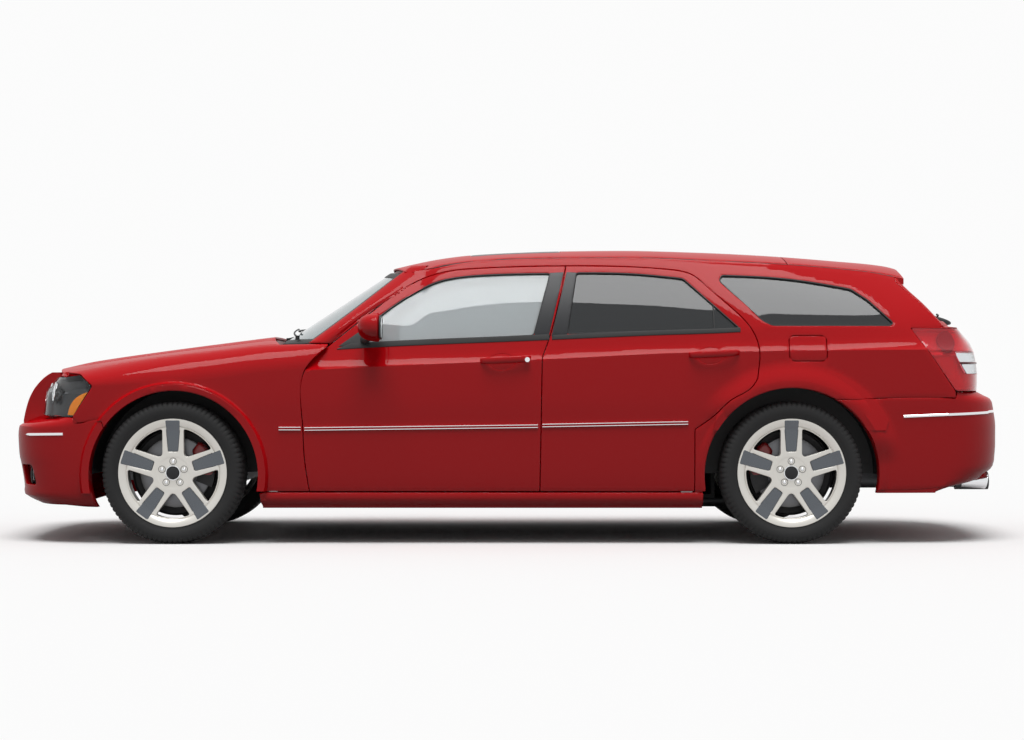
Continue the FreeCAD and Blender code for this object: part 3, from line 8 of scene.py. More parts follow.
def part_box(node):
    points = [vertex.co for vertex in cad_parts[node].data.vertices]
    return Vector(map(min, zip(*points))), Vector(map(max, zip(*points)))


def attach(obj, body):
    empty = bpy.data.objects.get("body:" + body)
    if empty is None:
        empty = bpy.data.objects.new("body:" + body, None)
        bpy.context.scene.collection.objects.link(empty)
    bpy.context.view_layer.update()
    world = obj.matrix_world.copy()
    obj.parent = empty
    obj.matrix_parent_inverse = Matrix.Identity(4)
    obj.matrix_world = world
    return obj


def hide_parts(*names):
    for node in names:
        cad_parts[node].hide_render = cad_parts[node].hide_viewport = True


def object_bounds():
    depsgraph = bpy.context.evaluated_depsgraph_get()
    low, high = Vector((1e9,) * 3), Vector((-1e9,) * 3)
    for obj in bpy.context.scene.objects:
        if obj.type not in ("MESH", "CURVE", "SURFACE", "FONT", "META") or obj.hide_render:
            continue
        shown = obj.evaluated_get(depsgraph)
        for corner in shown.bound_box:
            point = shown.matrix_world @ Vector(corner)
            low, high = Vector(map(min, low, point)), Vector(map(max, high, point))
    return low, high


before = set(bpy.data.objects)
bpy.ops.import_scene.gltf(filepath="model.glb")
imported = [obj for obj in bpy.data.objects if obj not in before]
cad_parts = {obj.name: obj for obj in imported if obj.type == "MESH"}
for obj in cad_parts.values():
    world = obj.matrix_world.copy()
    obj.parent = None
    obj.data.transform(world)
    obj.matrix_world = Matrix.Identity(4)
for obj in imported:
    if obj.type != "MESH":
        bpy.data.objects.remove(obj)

bl_info = {
    "name": "Station Wagon",
    "version": (1, 0, 0),
    "blender": (4, 5, 0),
    "location": "View3D > Sidebar > Wagon",
    "description": "Builds the panels, glass, lamps, wheels and cabin of a station wagon on its CAD frame",
    "category": "Object",
}

CAD_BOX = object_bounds()
SIDES = ("left", "right")


def middle(node):
    """Centre of a CAD node in millimetres."""
    low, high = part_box(node)
    return np.array(low + high) * 500


def chain(*corners):
    """Straight runs from corner to corner."""
    return [[a, b] for a, b in zip(corners, corners[1:])]


def loop(*corners):
    """Straight runs from corner to corner and back to the first."""
    return chain(*corners, corners[0])


FRONT_AXLE = middle("wheel_front_left")[0]
REAR_AXLE = middle("wheel_rear_left")[0]
WHEEL_Z = middle("wheel_front_left")[2]
WHEEL_Y = -middle("wheel_front_left")[1]

# Wheel arches: x and z of the centre, and the radius
FRONT_ARCH = (FRONT_AXLE + 5, 338.0, 417.0)
REAR_ARCH = (REAR_AXLE + 2, 338.0, 430.0)

# Body lines in millimetres: (station, value) points that the panels follow
BODY_SIDE = [(-2510, 868), (-2100, 888), (-1650, 905), (-1000, 901), (0, 905), (900, 908),
             (1400, 906), (1900, 892), (2200, 868), (2510, 838)]
SHOULDER_Z = [(-2300, 762), (-2234, 768), (-1650, 790), (-1336, 822), (-1267, 834), (-742, 869),
              (157, 909), (886, 943), (1226, 950), (2062, 958)]
BELT_Z = [(-1200, 930), (-843, 965), (201, 1013), (700, 1035), (1145, 1052), (1300, 1070), (2200, 1075)]
BELT_Y = [(-1200, 812), (-843, 838), (0, 858), (900, 862), (1400, 850), (1900, 816), (2300, 752)]
RAIL_Z = [(-455, 1350), (-336, 1380), (-166, 1402), (34, 1415), (281, 1419), (657, 1420),
          (1055, 1404), (1389, 1388), (1612, 1371), (1841, 1347), (2000, 1318)]
RAIL_Y = [(-500, 612), (-300, 630), (300, 645), (1000, 640), (1400, 628), (1900, 596), (2050, 584)]
ROOF_Z = [(-640, 1368), (-597, 1382), (-474, 1415), (-353, 1438), (-208, 1456), (35, 1470),
          (277, 1478), (591, 1481), (1002, 1471), (1315, 1456), (1691, 1428), (1960, 1402), (2040, 1380)]
HOOD_EDGE_Z = [(-2310, 828), (-2234, 842), (-1766, 916), (-1480, 949), (-1146, 982), (-890, 986)]
HOOD_EDGE_Y = [(-2310, 590), (-2234, 622), (-2100, 668), (-1900, 712), (-1700, 738), (-1146, 762),
               (-966, 796), (-890, 812)]
HOOD_Z = [(-2345, 858), (-2300, 869), (-2100, 903), (-1766, 950), (-1480, 988), (-1215, 1022)]
SECTION = [(150, -76), (175, -60), (215, -28), (257, -17), (400, -6), (590, 0), (700, 3), (800, 1),
           (960, -6)]
SKIRT_X = [(176, -2190), (185, -2365), (213, -2445), (240, -2482), (260, -2478), (375, -2493),
           (430, -2505), (530, -2510.5)]
NOSE_X = SKIRT_X + [(585, -2504), (693, -2478), (762, -2443), (816, -2395), (846, -2350), (870, -2310)]
LAMP_X = SKIRT_X + [(575, -2504), (598, -2440), (614, -2352), (633, -2330), (721, -2318), (791, -2300),
                    (823, -2285), (846, -2262), (870, -2225)]
TAIL_X = [(248, 1900), (253, 2030), (268, 2165), (284, 2300), (307, 2412), (331, 2450), (375, 2498),
          (495, 2510.5), (570, 2510.5), (658, 2498), (696, 2490), (718, 2468), (731, 2432)]
GATE_X = [(731, 2392), (765, 2398), (828, 2400), (916, 2387), (979, 2366), (1035, 2320), (1073, 2282),
          (1180, 2165), (1310, 2026), (1400, 1975)]

# Windscreen: foot, rake as x over z, and how far it wraps back; roof: its front edge and the bow of it
SCREEN_X, SCREEN_Z, SCREEN_RAKE, SCREEN_WRAP = -1199, 989, 1.532, 3.4e-4
ROOF_FRONT, ROOF_BOW, ROOF_FRONT_HALF = -607, 85, 596
ROOF_BACK = 1409
PILLAR_FOOT = ([981, 1337, 1384], [-966, -472, -402])

# Shut lines and openings, seen from the left; each run of more than two points is a spline
FENDER_DOOR = [(-978, 257), (-1004, 436), (-1012, 595), (-1002, 852), (-890, 975)]
PILLAR_DOOR = [(-890, 975), (-639, 1179)]
DOOR_TOP = [(-639, 1179), (-487, 1287), (-334, 1347), (-166, 1367), (50, 1376), (290, 1380)]
B_HIGH = [(290, 1380), (208, 1025), (170, 919)]
B_LOW = [(170, 919), (158, 257)]
REAR_TOP = [(290, 1380), (400, 1380), (530, 1378), (655, 1373), (770, 1365), (872, 1352), (915, 1338),
            (950, 1315)]
REAR_BACK = [(950, 1315), (1097, 1179), (1203, 1063), (1236, 986), (1239, 890), (1227, 813)]
REAR_HAUNCH = [(1227, 813), (1196, 770), (1096, 709), (1026, 642), (921, 565)]
FRONT_DOOR = [FENDER_DOOR, PILLAR_DOOR, DOOR_TOP, B_HIGH, B_LOW, [(158, 257), (-978, 257)]]
REAR_DOOR = [B_LOW[::-1], B_HIGH[::-1], REAR_TOP, REAR_BACK, REAR_HAUNCH,
             *chain((921, 565), (921, 257), (158, 257))]
FRONT_GLASS = [[(-800, 983), (-622, 1137), (-485, 1234), (-333, 1305), (-181, 1329), (50, 1339), (211, 1341)],
               *chain((211, 1341), (128, 1030), (-800, 983))]
REAR_GLASS = [[(343, 1344), (600, 1340), (874, 1315)],
              *chain((874, 1315), (1145, 1064), (292, 1037), (343, 1344))]
QUARTER_GLASS = [[(1070, 1332), (1400, 1313), (1597, 1284), (1715, 1262)],
                 *chain((1715, 1262), (1793, 1208), (1912, 1092), (1900, 1078), (1310, 1078), (1262, 1102),
                        (1056, 1303), (1070, 1332))]
FUEL_LID = loop((1386, 899), (1576, 899), (1576, 1028), (1386, 1028))
BUMPER_SEAM = [(1611, 712), (1733, 711), (1820, 716)]
BUMPER_ANGLE = 60.5
AMBER = [[(-2178, 634), (-2165, 685), (-2135, 721), (-2069, 750)],
         *chain((-2069, 750), (-2147, 631), (-2178, 634))]
FRONT_HANDLE, REAR_HANDLE = (-30, 897), (998, 926)
HANDLE_LENGTH = 250

PROUD = 1.5
SHEET = 1.0
PANEL_SPACING = 16.5


def smooth(points, v):
    """Monotone cubic through (station, value) points: Hermite pieces whose end slopes are harmonic means
    of the neighbouring chords, level beyond both ends."""
    xs, ys = np.array(points, float).T
    v = np.clip(np.asarray(v, float), xs[0], xs[-1])
    step, chord = np.diff(xs), np.diff(ys) / np.diff(xs)
    slope = np.concatenate([chord[:1], np.zeros(len(chord) - 1), chord[-1:]])
    same = chord[:-1] * chord[1:] > 0
    w1, w2 = 2 * step[1:] + step[:-1], step[1:] + 2 * step[:-1]
    safe = np.where(same, chord[:-1], 1), np.where(same, chord[1:], 1)
    slope[1:-1] = np.where(same, (w1 + w2) / (w1 / safe[0] + w2 / safe[1]), 0)
    k = np.clip(np.searchsorted(xs, v, side="right") - 1, 0, len(step) - 1)
    t = (v - xs[k]) / step[k]
    m0, m1 = slope[k] * step[k], slope[k + 1] * step[k]
    return (ys[k] * (1 + 2 * t) * (1 - t) ** 2 + m0 * t * (1 - t) ** 2
            + ys[k + 1] * t * t * (3 - 2 * t) - m1 * t * t * (1 - t))


def ease(v, low, high):
    """Smooth step: 0 below low, 1 above high, 3t^2 - 2t^3 between."""
    t = np.clip((v - low) / (high - low), 0, 1)
    return t * t * (3 - 2 * t)


# Body surfaces: each returns points in millimetres for arrays of its two parameters
def body_side(x, z):
    return smooth(BODY_SIDE, x) + smooth(SECTION, z)


def side_y(x, z):
    """Half width at a station and height: the side up to the shoulder crease, a small step and a lean to
    the belt, then a lean that grows towards the roof rail."""
    crease, belt, rail = smooth(SHOULDER_Z, x), smooth(BELT_Z, x), smooth(RAIL_Z, x)
    start, belt_y = body_side(x, crease), smooth(BELT_Y, x)
    above = smooth([(0, 0), (0.14, 0.28), (1, 1)], (z - crease) / (belt - crease))
    share = (z - belt) / (rail - belt)
    top = belt_y + (smooth(RAIL_Y, x) - belt_y) * (0.62 * share + 0.38 * share * share)
    return np.where(z <= crease, body_side(x, z), np.where(z <= belt, start + (belt_y - start) * above, top))


def swell(x, z):
    """How far the arch brows stand out: a lip of even width round the front arch, and round the rear one
    a sloping haunch whose height falls off with the distance and the angle from the arch centre."""
    front = np.hypot(x - FRONT_ARCH[0], z - FRONT_ARCH[1])
    rear = np.hypot(x - REAR_ARCH[0], z - REAR_ARCH[1])
    angle = np.degrees(np.arctan2(z - REAR_ARCH[1], x - REAR_ARCH[0]))
    lip = 17 * (1 - ease(front, 447, 463))
    fade = ease(angle, 6, 25) * (1 - ease(angle, 128, 150))
    slope = np.clip((560 - rear) / 96, 0, 1)
    haunch = 34 * (slope - 0.06 * np.sin(2 * np.pi * slope)) * fade
    return lip + haunch + 8 * (1 - ease(rear, 456, 470)) * (1 - fade)


def side_skin(x, z):
    return np.stack([x, -(side_y(x, z) + swell(x, z) + PROUD), z], -1)


def sill_skin(x, z):
    """Sill: the side with a rolled bulge along its lower edge."""
    bulge = 9 * np.sin(np.pi * np.clip((z - 178) / 72, 0, 1))
    return np.stack([x, -(side_y(x, z) + swell(x, z) + PROUD + bulge), z], -1)


FENDER_TURN = math.radians(78)


def fender_girth(x, z):
    """Girth coordinate of the fender: the height up to the crease, then 1.3 times the rest of the turn."""
    crease, edge = smooth(SHOULDER_Z, x), smooth(HOOD_EDGE_Z, x)
    share = np.clip((z - crease) / (edge - crease), 0, 1)
    turn = np.arcsin(share * math.sin(FENDER_TURN)) / FENDER_TURN
    return np.where(z <= crease, z, crease + turn * 1.3 * (edge - crease))


def fender_skin(x, g):
    """Fender: the side up to the crease, then a quarter ellipse that turns in to the hood's edge."""
    crease, edge = smooth(SHOULDER_Z, x), smooth(HOOD_EDGE_Z, x)
    angle = np.clip((g - crease) / (1.3 * (edge - crease)), 0, 1.1) * FENDER_TURN
    low, high = body_side(x, crease), smooth(HOOD_EDGE_Y, x) + 3
    z = np.where(g <= crease, g, crease + (edge - crease) * np.sin(angle) / math.sin(FENDER_TURN))
    y = np.where(g <= crease, body_side(x, g), high + (low - high) * np.cos(angle))
    return np.stack([x, -(y + swell(x, z) + PROUD), z + PROUD * np.sin(angle)], -1)


def hood_skin(x, y):
    """Hood: a crown over its two edges with a broad raised centre."""
    edge, crown = smooth(HOOD_EDGE_Z, x), smooth(HOOD_Z, x)
    base = edge + (crown - edge) * (1 - (np.abs(y) / smooth(HOOD_EDGE_Y, x)) ** 2.4)
    centre = 7 * (1 - ease(np.abs(y), 330 + 0.08 * (x + 2300), 392 + 0.08 * (x + 2300)))
    return np.stack([x, y, base + PROUD + centre * ease(x, -2320, -2120)], -1)


def roof_skin(x, y):
    """Roof: a crown over the two rails."""
    rail, crown = smooth(RAIL_Z, x), smooth(ROOF_Z, x)
    return np.stack([x, y, rail + (crown - rail) * (1 - (np.abs(y) / smooth(RAIL_Y, x)) ** 2.2) + PROUD], -1)


def screen_skin(u, z):
    """Windscreen: a straight rake wrapped back towards its sides; u runs from right to left."""
    return np.stack([SCREEN_X + (z - SCREEN_Z) * SCREEN_RAKE + SCREEN_WRAP * u * u, -u, z], -1)


def bare_side(x, z):
    """The side without arch brows, on the CAD's own surface."""
    return np.stack([x, -side_y(x, z), z], -1)


def wrap(side_x, end_line, level, power=2.6, root=3.0):
    """Surface round one end of the car. In plan it is a rounded corner x = sin^(2/power),
    y = cos^(2/root); u is the run along it from the centre line, and goes on along the side."""
    facing = math.copysign(1, side_x)
    angle = np.linspace(np.pi / 2, 0, 600)

    def plan(turn, z):
        x = side_x + (smooth(end_line, z) - side_x) * np.sin(turn) ** (2 / power)
        return x, side_y(x, z) * np.cos(turn) ** (2 / root)

    x, y = plan(angle, np.full(600, float(level)))
    run = np.concatenate([[0], np.cumsum(np.hypot(np.diff(x), np.diff(y)))])

    def lift(u, z):
        along = np.abs(u)
        x, y = plan(np.interp(along, run, angle), z)
        beyond = np.maximum(along - run[-1], 0)
        x = x - facing * beyond
        y = np.where(beyond > 0, side_y(x, z) + swell(x, z), y)
        return np.stack([x, facing * np.sign(u) * y, z], -1)

    return lift


def solve(value, target, low, high):
    """Bisection on arrays: where a value that falls from low to high meets its target."""
    low, high = np.full(np.shape(target), float(low)), np.full(np.shape(target), float(high))
    for _ in range(40):
        half = (low + high) / 2
        above = value(half) > target
        low, high = np.where(above, half, low), np.where(above, high, half)
    return (low + high) / 2


def from_side(lift, facing, x, z):
    """Run coordinate of side-view points on an end surface, left side."""
    u = solve(lambda run: facing * lift(-facing * run, z)[..., 0], facing * np.asarray(x, float), 0, 2600)
    return -facing * u


def from_end(lift, facing, y, z):
    """Run coordinate of end-view points on an end surface; negative y is the left side."""
    u = solve(lambda run: -np.abs(lift(run, z)[..., 1]), -np.abs(np.asarray(y, float)), 0, 1200)
    return facing * np.sign(y) * u


def proud(lift, height):
    """The same surface moved out along its own normals."""
    def moved(u, v):
        return lift(u, v) + normal(lift, u, v) * height
    return moved


def lowered(lift, depth):
    return proud(lift, -depth)


def normal(lift, u, v, h=0.4):
    """Unit normal of a surface by central differences."""
    across = lift(u + h, v) - lift(u - h, v)
    along = lift(u, v + h) - lift(u, v - h)
    n = np.cross(across, along)
    return n / np.maximum(np.linalg.norm(n, axis=-1, keepdims=True), 1e-9)


NOSE = proud(wrap(-1990, NOSE_X, 500), PROUD)
LAMP = proud(wrap(-1990, LAMP_X, 700, 3.5, 3.6), PROUD)
BUMPER = proud(wrap(2140, TAIL_X + [(745, 2408), (760, 2402)], 500), PROUD)
GATE = proud(wrap(2190, GATE_X, 900), PROUD)
BACK = proud(wrap(1850, GATE_X, 1180, 3.2, 3.2), PROUD)


# Outlines
def curve(points, step=9.0):
    """Natural cubic spline through points with the chord length as parameter, read every step;
    two points give a straight line."""
    p = np.array(points, float)
    chord = np.hypot(*np.diff(p, axis=0).T)
    t = np.concatenate([[0.0], np.cumsum(chord)])
    w = np.linspace(0, t[-1], max(2, int(t[-1] / step) + 1))
    n = len(p)
    system, right = np.eye(n), np.zeros((n, 2))
    for i in range(1, n - 1):
        system[i, i - 1:i + 2] = chord[i - 1], 2 * (chord[i - 1] + chord[i]), chord[i]
        right[i] = 6 * ((p[i + 1] - p[i]) / chord[i] - (p[i] - p[i - 1]) / chord[i - 1])
    bend = np.linalg.solve(system, right)
    k = np.clip(np.searchsorted(t, w, side="right") - 1, 0, n - 2)
    a, b = ((t[k + 1] - w) / chord[k])[:, None], ((w - t[k]) / chord[k])[:, None]
    rest = ((a ** 3 - a) * bend[k] + (b ** 3 - b) * bend[k + 1]) * chord[k][:, None] ** 2 / 6
    return a * p[k] + b * p[k + 1] + rest


def arc(centre, radius, first, last, step=9.0):
    """Circle arc between two angles in degrees."""
    count = max(2, int(abs(math.radians(last - first)) * radius / step))
    angle = np.radians(np.linspace(first, last, count))
    return np.stack([centre[0] + radius * np.cos(angle), centre[1] + radius * np.sin(angle)], -1)


def arch_angle(arch, x, z):
    """Angle in degrees of a side-view point, seen from the centre of an arch."""
    return np.degrees(np.arctan2(z - arch[1], x - arch[0]))


def circle(radius, count=96):
    t = np.linspace(0, 2 * np.pi, count, endpoint=False)
    return np.stack([radius * np.cos(t), radius * np.sin(t)], -1)


def curl(v, share):
    """Signed power |v|^share, which squares off a circle into a superellipse."""
    return np.sign(v) * np.abs(v) ** share


def ellipse(centre, half_x, half_z, power=2.6, count=40):
    """Superellipse outline."""
    t = np.linspace(0, 2 * np.pi, count, endpoint=False)
    return np.stack([centre[0] + half_x * curl(np.cos(t), 2 / power),
                     centre[1] + half_z * curl(np.sin(t), 2 / power)], -1)


def level_line(first, last, count, level):
    """Straight line of points at one level."""
    return np.stack([np.linspace(first, last, count), np.full(count, float(level))], -1)


def line_of(table, first, last, shift=0.0, step=14.0):
    """Body line between two stations, in the side view."""
    x = np.arange(first, last, step)
    return np.stack([x, smooth(table, x) + shift], -1)


def plan_edge(table, x, inward):
    """Left edge of a panel, seen from above."""
    return np.stack([x, -(smooth(table, x) - inward)], -1)


def bow(x, bend, half, count, direction=1):
    """Bowed line across the car, from one side to the other: x + bend s^2 at y = half s."""
    s = np.linspace(-direction, direction, count)
    return np.stack([x + bend * s * s, s * half], -1)


def ring(runs, radius=8.0, step=9.0):
    """Closed outline of runs with each sharp corner rounded by a quadratic curve."""
    pieces = [r if isinstance(r, np.ndarray) else curve(r, step) for r in runs]
    ends = []
    for before, after in zip(pieces, pieces[1:] + pieces[:1]):
        a, b = before[-1] - before[-2], after[1] - after[0]
        cosine = a @ b / np.linalg.norm(a) / np.linalg.norm(b)
        ends.append(radius if cosine < 0.97 else 0.0)
    out = []
    for k, points in enumerate(pieces):
        run = np.concatenate([[0], np.cumsum(np.hypot(*np.diff(points, axis=0).T))])
        start, stop = min(ends[k - 1], 0.45 * run[-1]), min(ends[k], 0.45 * run[-1])
        w = np.linspace(start, run[-1] - stop, max(2, int((run[-1] - start - stop) / step) + 1))
        body = np.stack([np.interp(w, run, points[:, 0]), np.interp(w, run, points[:, 1])], -1)
        out.append(body)
        if ends[k]:
            after = pieces[(k + 1) % len(pieces)]
            ahead = np.concatenate([[0], np.cumsum(np.hypot(*np.diff(after, axis=0).T))])
            reach = min(ends[k], 0.45 * ahead[-1])
            target = np.array([np.interp(reach, ahead, after[:, i]) for i in (0, 1)])
            t = np.linspace(0, 1, 6)[1:-1, None]
            out.append((1 - t) ** 2 * body[-1] + 2 * t * (1 - t) * points[-1] + t * t * target)
        else:
            out[-1] = body[:-1]
    return np.concatenate(out)


def turned(points, outer):
    """The ring running anticlockwise for an outer edge, clockwise for a hole."""
    x, y = points.T
    area = np.sum(x * np.roll(y, -1) - y * np.roll(x, -1))
    return points if (area > 0) == outer else points[::-1]


def edge_normals(points):
    """Normals in the plane of the outline that point away from its material."""
    t = np.roll(points, -1, 0) - np.roll(points, 1, 0)
    t /= np.maximum(np.linalg.norm(t, axis=1, keepdims=True), 1e-9)
    return np.stack([t[:, 1], -t[:, 0]], -1)


def inset(points, distance):
    points = turned(points, True)
    return points - edge_normals(points) * distance


def inside(points, rings):
    """Even-odd rule: how many edges of the rings lie to the right of each point."""
    x, y = points[:, 0, None], points[:, 1, None]
    hit = np.zeros(len(points), bool)
    for edge in rings:
        a, b = edge, np.roll(edge, -1, 0)
        crosses = (a[:, 1] > y) != (b[:, 1] > y)
        rise = np.where(b[:, 1] == a[:, 1], 1, b[:, 1] - a[:, 1])
        meets = (b[:, 0] - a[:, 0]) * (y - a[:, 1]) / rise + a[:, 0]
        hit ^= (crosses & (x < meets)).sum(1) % 2 == 1
    return hit


def apart(points, others, distance):
    """True for points at least a distance from all the others."""
    square = (points ** 2).sum(1)[:, None] + (others ** 2).sum(1) - 2 * points @ others.T
    return square.min(1) > distance ** 2


def patch(lift, rings, spacing=16.0, roll=2.5, wall=8.0, gap=1.9, lines=(), grain=(1.0, 1.0),
          hole_gap=0.0, rim=True, slab=0.0):
    """Panel on a surface: a grid trimmed to its rings and triangulated, with an edge that rolls over a
    small radius and runs down along the surface normal. A slab instead has the same grid again below
    it, so both faces of a pane stay parallel."""
    rings = [turned(np.asarray(r, float), k == 0) for k, r in enumerate(rings)]
    normals = [edge_normals(r) for r in rings]
    inner = [r - n * ((hole_gap if k else gap) + roll) for k, (r, n) in enumerate(zip(rings, normals))]
    border = np.concatenate(inner)
    low, high = inner[0].min(0), inner[0].max(0)
    step_u, step_v = spacing * grain[0], spacing * grain[1]
    u, v = np.meshgrid(np.arange(low[0] + step_u / 2, high[0], step_u),
                       np.arange(low[1] + step_v / 2, high[1], step_v))
    shift = np.where(np.arange(u.shape[0]) % 2, step_u / 2, 0)[:, None]
    grid = np.stack([(u + shift).ravel(), v.ravel()], -1)
    scale = np.array([1 / grain[0], 1 / grain[1]])
    edges, creases, count = [], [], len(border)
    for line in lines:
        keep = inside(line, inner) & apart(line * scale, border * scale, 0.4 * spacing)
        creases.append(line[keep])
        unbroken = np.diff(np.flatnonzero(keep)) == 1
        edges += [(count + i, count + i + 1) for i in np.flatnonzero(unbroken)]
        count += len(creases[-1])
    fixed = np.concatenate([border] + creases)
    grid = grid[inside(grid, inner)]
    grid = grid[apart(grid * scale, fixed * scale, 0.55 * spacing)]
    start = 0
    for r in inner:
        edges += [(start + i, start + (i + 1) % len(r)) for i in range(len(r))]
        start += len(r)
    points = np.concatenate([fixed, grid])
    flat = [Vector(p) for p in points.tolist()]
    made, _, faces, source, _, _ = geometry.delaunay_2d_cdt(flat, edges, [], 0, 1e-5, True)
    co = np.array([tuple(p) for p in made])
    where = np.zeros(len(points), int)
    for k, group in enumerate(source):
        where[group] = k
    tri = np.array([f for f in faces if len(f) == 3])
    a, b, c = co[tri[:, 0]], co[tri[:, 1]], co[tri[:, 2]]
    area = (b[:, 0] - a[:, 0]) * (c[:, 1] - a[:, 1]) - (b[:, 1] - a[:, 1]) * (c[:, 0] - a[:, 0])
    tri = np.where(area[:, None] > 0, tri, tri[:, ::-1])
    tri = tri[inside((a + b + c) / 3, inner) & (np.abs(area) > 1e-6)]
    verts, faces = [lift(co[:, 0], co[:, 1])], tri.tolist()
    if slab:
        size, start = len(co), 0
        faces += (tri[:, ::-1] + size).tolist()
        for r in inner:
            last = where[start:start + len(r)]
            after = np.roll(last, -1)
            faces += np.stack([after, last, last + size, after + size], -1).tolist()
            start += len(r)
        return np.concatenate([verts[0], verts[0] - normal(lift, co[:, 0], co[:, 1]) * slab]), faces
    if not rim:
        return verts[0], faces
    base, start = len(co), 0
    for r, n in zip(inner, normals):
        size = len(r)
        last = where[start:start + size]
        angles = np.radians([30, 60, 90, 90])
        depths = [roll * (1 - math.cos(a)) for a in angles[:3]] + [roll + wall]
        for angle, depth in zip(angles, depths):
            q = r + n * roll * math.sin(angle)
            verts.append(lift(q[:, 0], q[:, 1]) - normal(lift, q[:, 0], q[:, 1]) * depth)
            row = np.arange(base, base + size)
            faces += np.stack([np.roll(last, -1), last, row, np.roll(row, -1)], -1).tolist()
            last, base = row, base + size
        start += size
    return np.concatenate(verts), faces


def mirrored(part):
    """The same part on the other side: y changes sign and each face is turned over."""
    verts, faces = part
    return verts * np.array([1, -1, 1]), [f[::-1] for f in faces]


def joined(*parts):
    """Several parts as one set of points and faces."""
    verts, faces, base = [], [], 0
    for v, f in parts:
        verts.append(np.asarray(v))
        faces += [[i + base for i in face] for face in f]
        base += len(v)
    return np.concatenate(verts), faces


def both(part):
    return joined(part, mirrored(part))


def outward(part):
    """A closed part with its faces turned out, by the sign of its volume."""
    verts, faces = part
    total = 0.0
    for f in faces:
        a, b, c = verts[f[0]], verts[list(f[1:-1])], verts[list(f[2:])]
        total += float((np.cross(b, c) @ a).sum())
    return part if total > 0 else (verts, [list(f)[::-1] for f in faces])


def lattice(points, close_u=False, close_v=False, ends=False):
    """Quads over a grid of points (rows u, columns v), closed round either way, ends capped."""
    rows, columns = points.shape[:2]
    index = np.arange(rows * columns).reshape(rows, columns)
    a = index if close_u else index[:-1]
    b = np.roll(index, -1, 0) if close_u else index[1:]
    if not close_v:
        quads = np.stack([a[:, :-1], b[:, :-1], b[:, 1:], a[:, 1:]], -1)
    else:
        quads = np.stack([a, b, np.roll(b, -1, 1), np.roll(a, -1, 1)], -1)
    faces = quads.reshape(-1, 4).tolist()
    if ends:
        faces += [index[0].tolist(), index[-1].tolist()[::-1]]
    return points.reshape(-1, 3), faces


def lathe(profile, count=96, closed=True):
    """Revolves (radius, height) points about the local Z axis."""
    r, h = np.array(profile, float).T
    angle = np.linspace(0, 2 * np.pi, count, endpoint=False)[:, None]
    points = np.stack([r * np.cos(angle), r * np.sin(angle), h + 0 * angle], -1)
    return outward(lattice(points, close_u=True, close_v=closed))


def tube(path, radius, count=12):
    """Round bar along a path: circles in the plane across its tangent, with capped ends."""
    path = np.asarray(path, float)
    t = np.gradient(path, axis=0)
    t /= np.linalg.norm(t, axis=1, keepdims=True)
    up = np.where(np.abs(t[:, 2:]) > 0.9, np.array([[1.0, 0, 0]]), np.array([[0, 0, 1.0]]))
    a = np.cross(t, up)
    a /= np.linalg.norm(a, axis=1, keepdims=True)
    b = np.cross(t, a)
    angle = np.linspace(0, 2 * np.pi, count, endpoint=False)[:, None]
    radius = np.broadcast_to(np.asarray(radius, float), (len(path),))[:, None, None]
    points = path[:, None] + radius * (np.cos(angle) * a[:, None] + np.sin(angle) * b[:, None])
    return outward(lattice(points, close_v=True, ends=True))


def ribbon(lift, path, profile, closed=False):
    """Carries a closed (across, out) profile along a line drawn on a surface."""
    path = np.asarray(path, float)
    t = np.roll(path, -1, 0) - np.roll(path, 1, 0) if closed else np.gradient(path, axis=0)
    t /= np.maximum(np.linalg.norm(t, axis=1, keepdims=True), 1e-9)
    side = np.stack([-t[:, 1], t[:, 0]], -1)
    profile = np.array(profile, float)
    at = path[:, None] + side[:, None] * profile[None, :, :1]
    n = normal(lift, path[:, 0], path[:, 1])
    points = lift(at[..., 0], at[..., 1]) + n[:, None] * profile[None, :, 1:]
    return outward(lattice(points, close_u=closed, close_v=True, ends=not closed))


def rounded_block(centre, size, power=6.0, count=24):
    """Superellipsoid: |x/a|^p + |y/b|^p + |z/c|^p = 1, drawn over two angles."""
    lat = np.linspace(-np.pi / 2, np.pi / 2, count)[:, None]
    lon = np.linspace(-np.pi, np.pi, 2 * count, endpoint=False)
    share = 2 / power
    x = curl(np.cos(lat), share) * curl(np.cos(lon), share)
    y = curl(np.cos(lat), share) * curl(np.sin(lon), share)
    z = curl(np.sin(lat), share) + 0 * lon
    points = np.stack([x, y, z], -1) * np.array(size) / 2 + np.array(centre)
    return outward(lattice(points, close_v=True))


def round_block(power, count):
    """Superellipsoid that reaches from -1 to 1, to be shaped further."""
    return rounded_block((0, 0, 0), (2, 2, 2), power, count)


def turned_about_x(x, radius, centre, count=48, squash=1.0):
    """Revolves (x, radius) points about the fore and aft line through a (y, z) centre."""
    angle = np.linspace(0, 2 * np.pi, count, endpoint=False)[:, None]
    points = np.stack([x + 0 * angle, centre[0] + radius * np.cos(angle),
                       centre[1] + squash * radius * np.sin(angle)], -1)
    return lattice(points, close_u=True)


def collar(centre, radius, thickness, count):
    """Round wire bent into a circle that faces the nose."""
    angle = np.linspace(0, 2 * np.pi, 49)
    path = centre + np.stack([0 * angle, radius * np.cos(angle), radius * np.sin(angle)], -1)
    return tube(path, thickness, count)


def bell(v, centre, width, power=2):
    """Bell curve exp(-d^power), where d is the distance from the centre in widths."""
    return np.exp(-((v - centre) / width) ** power)


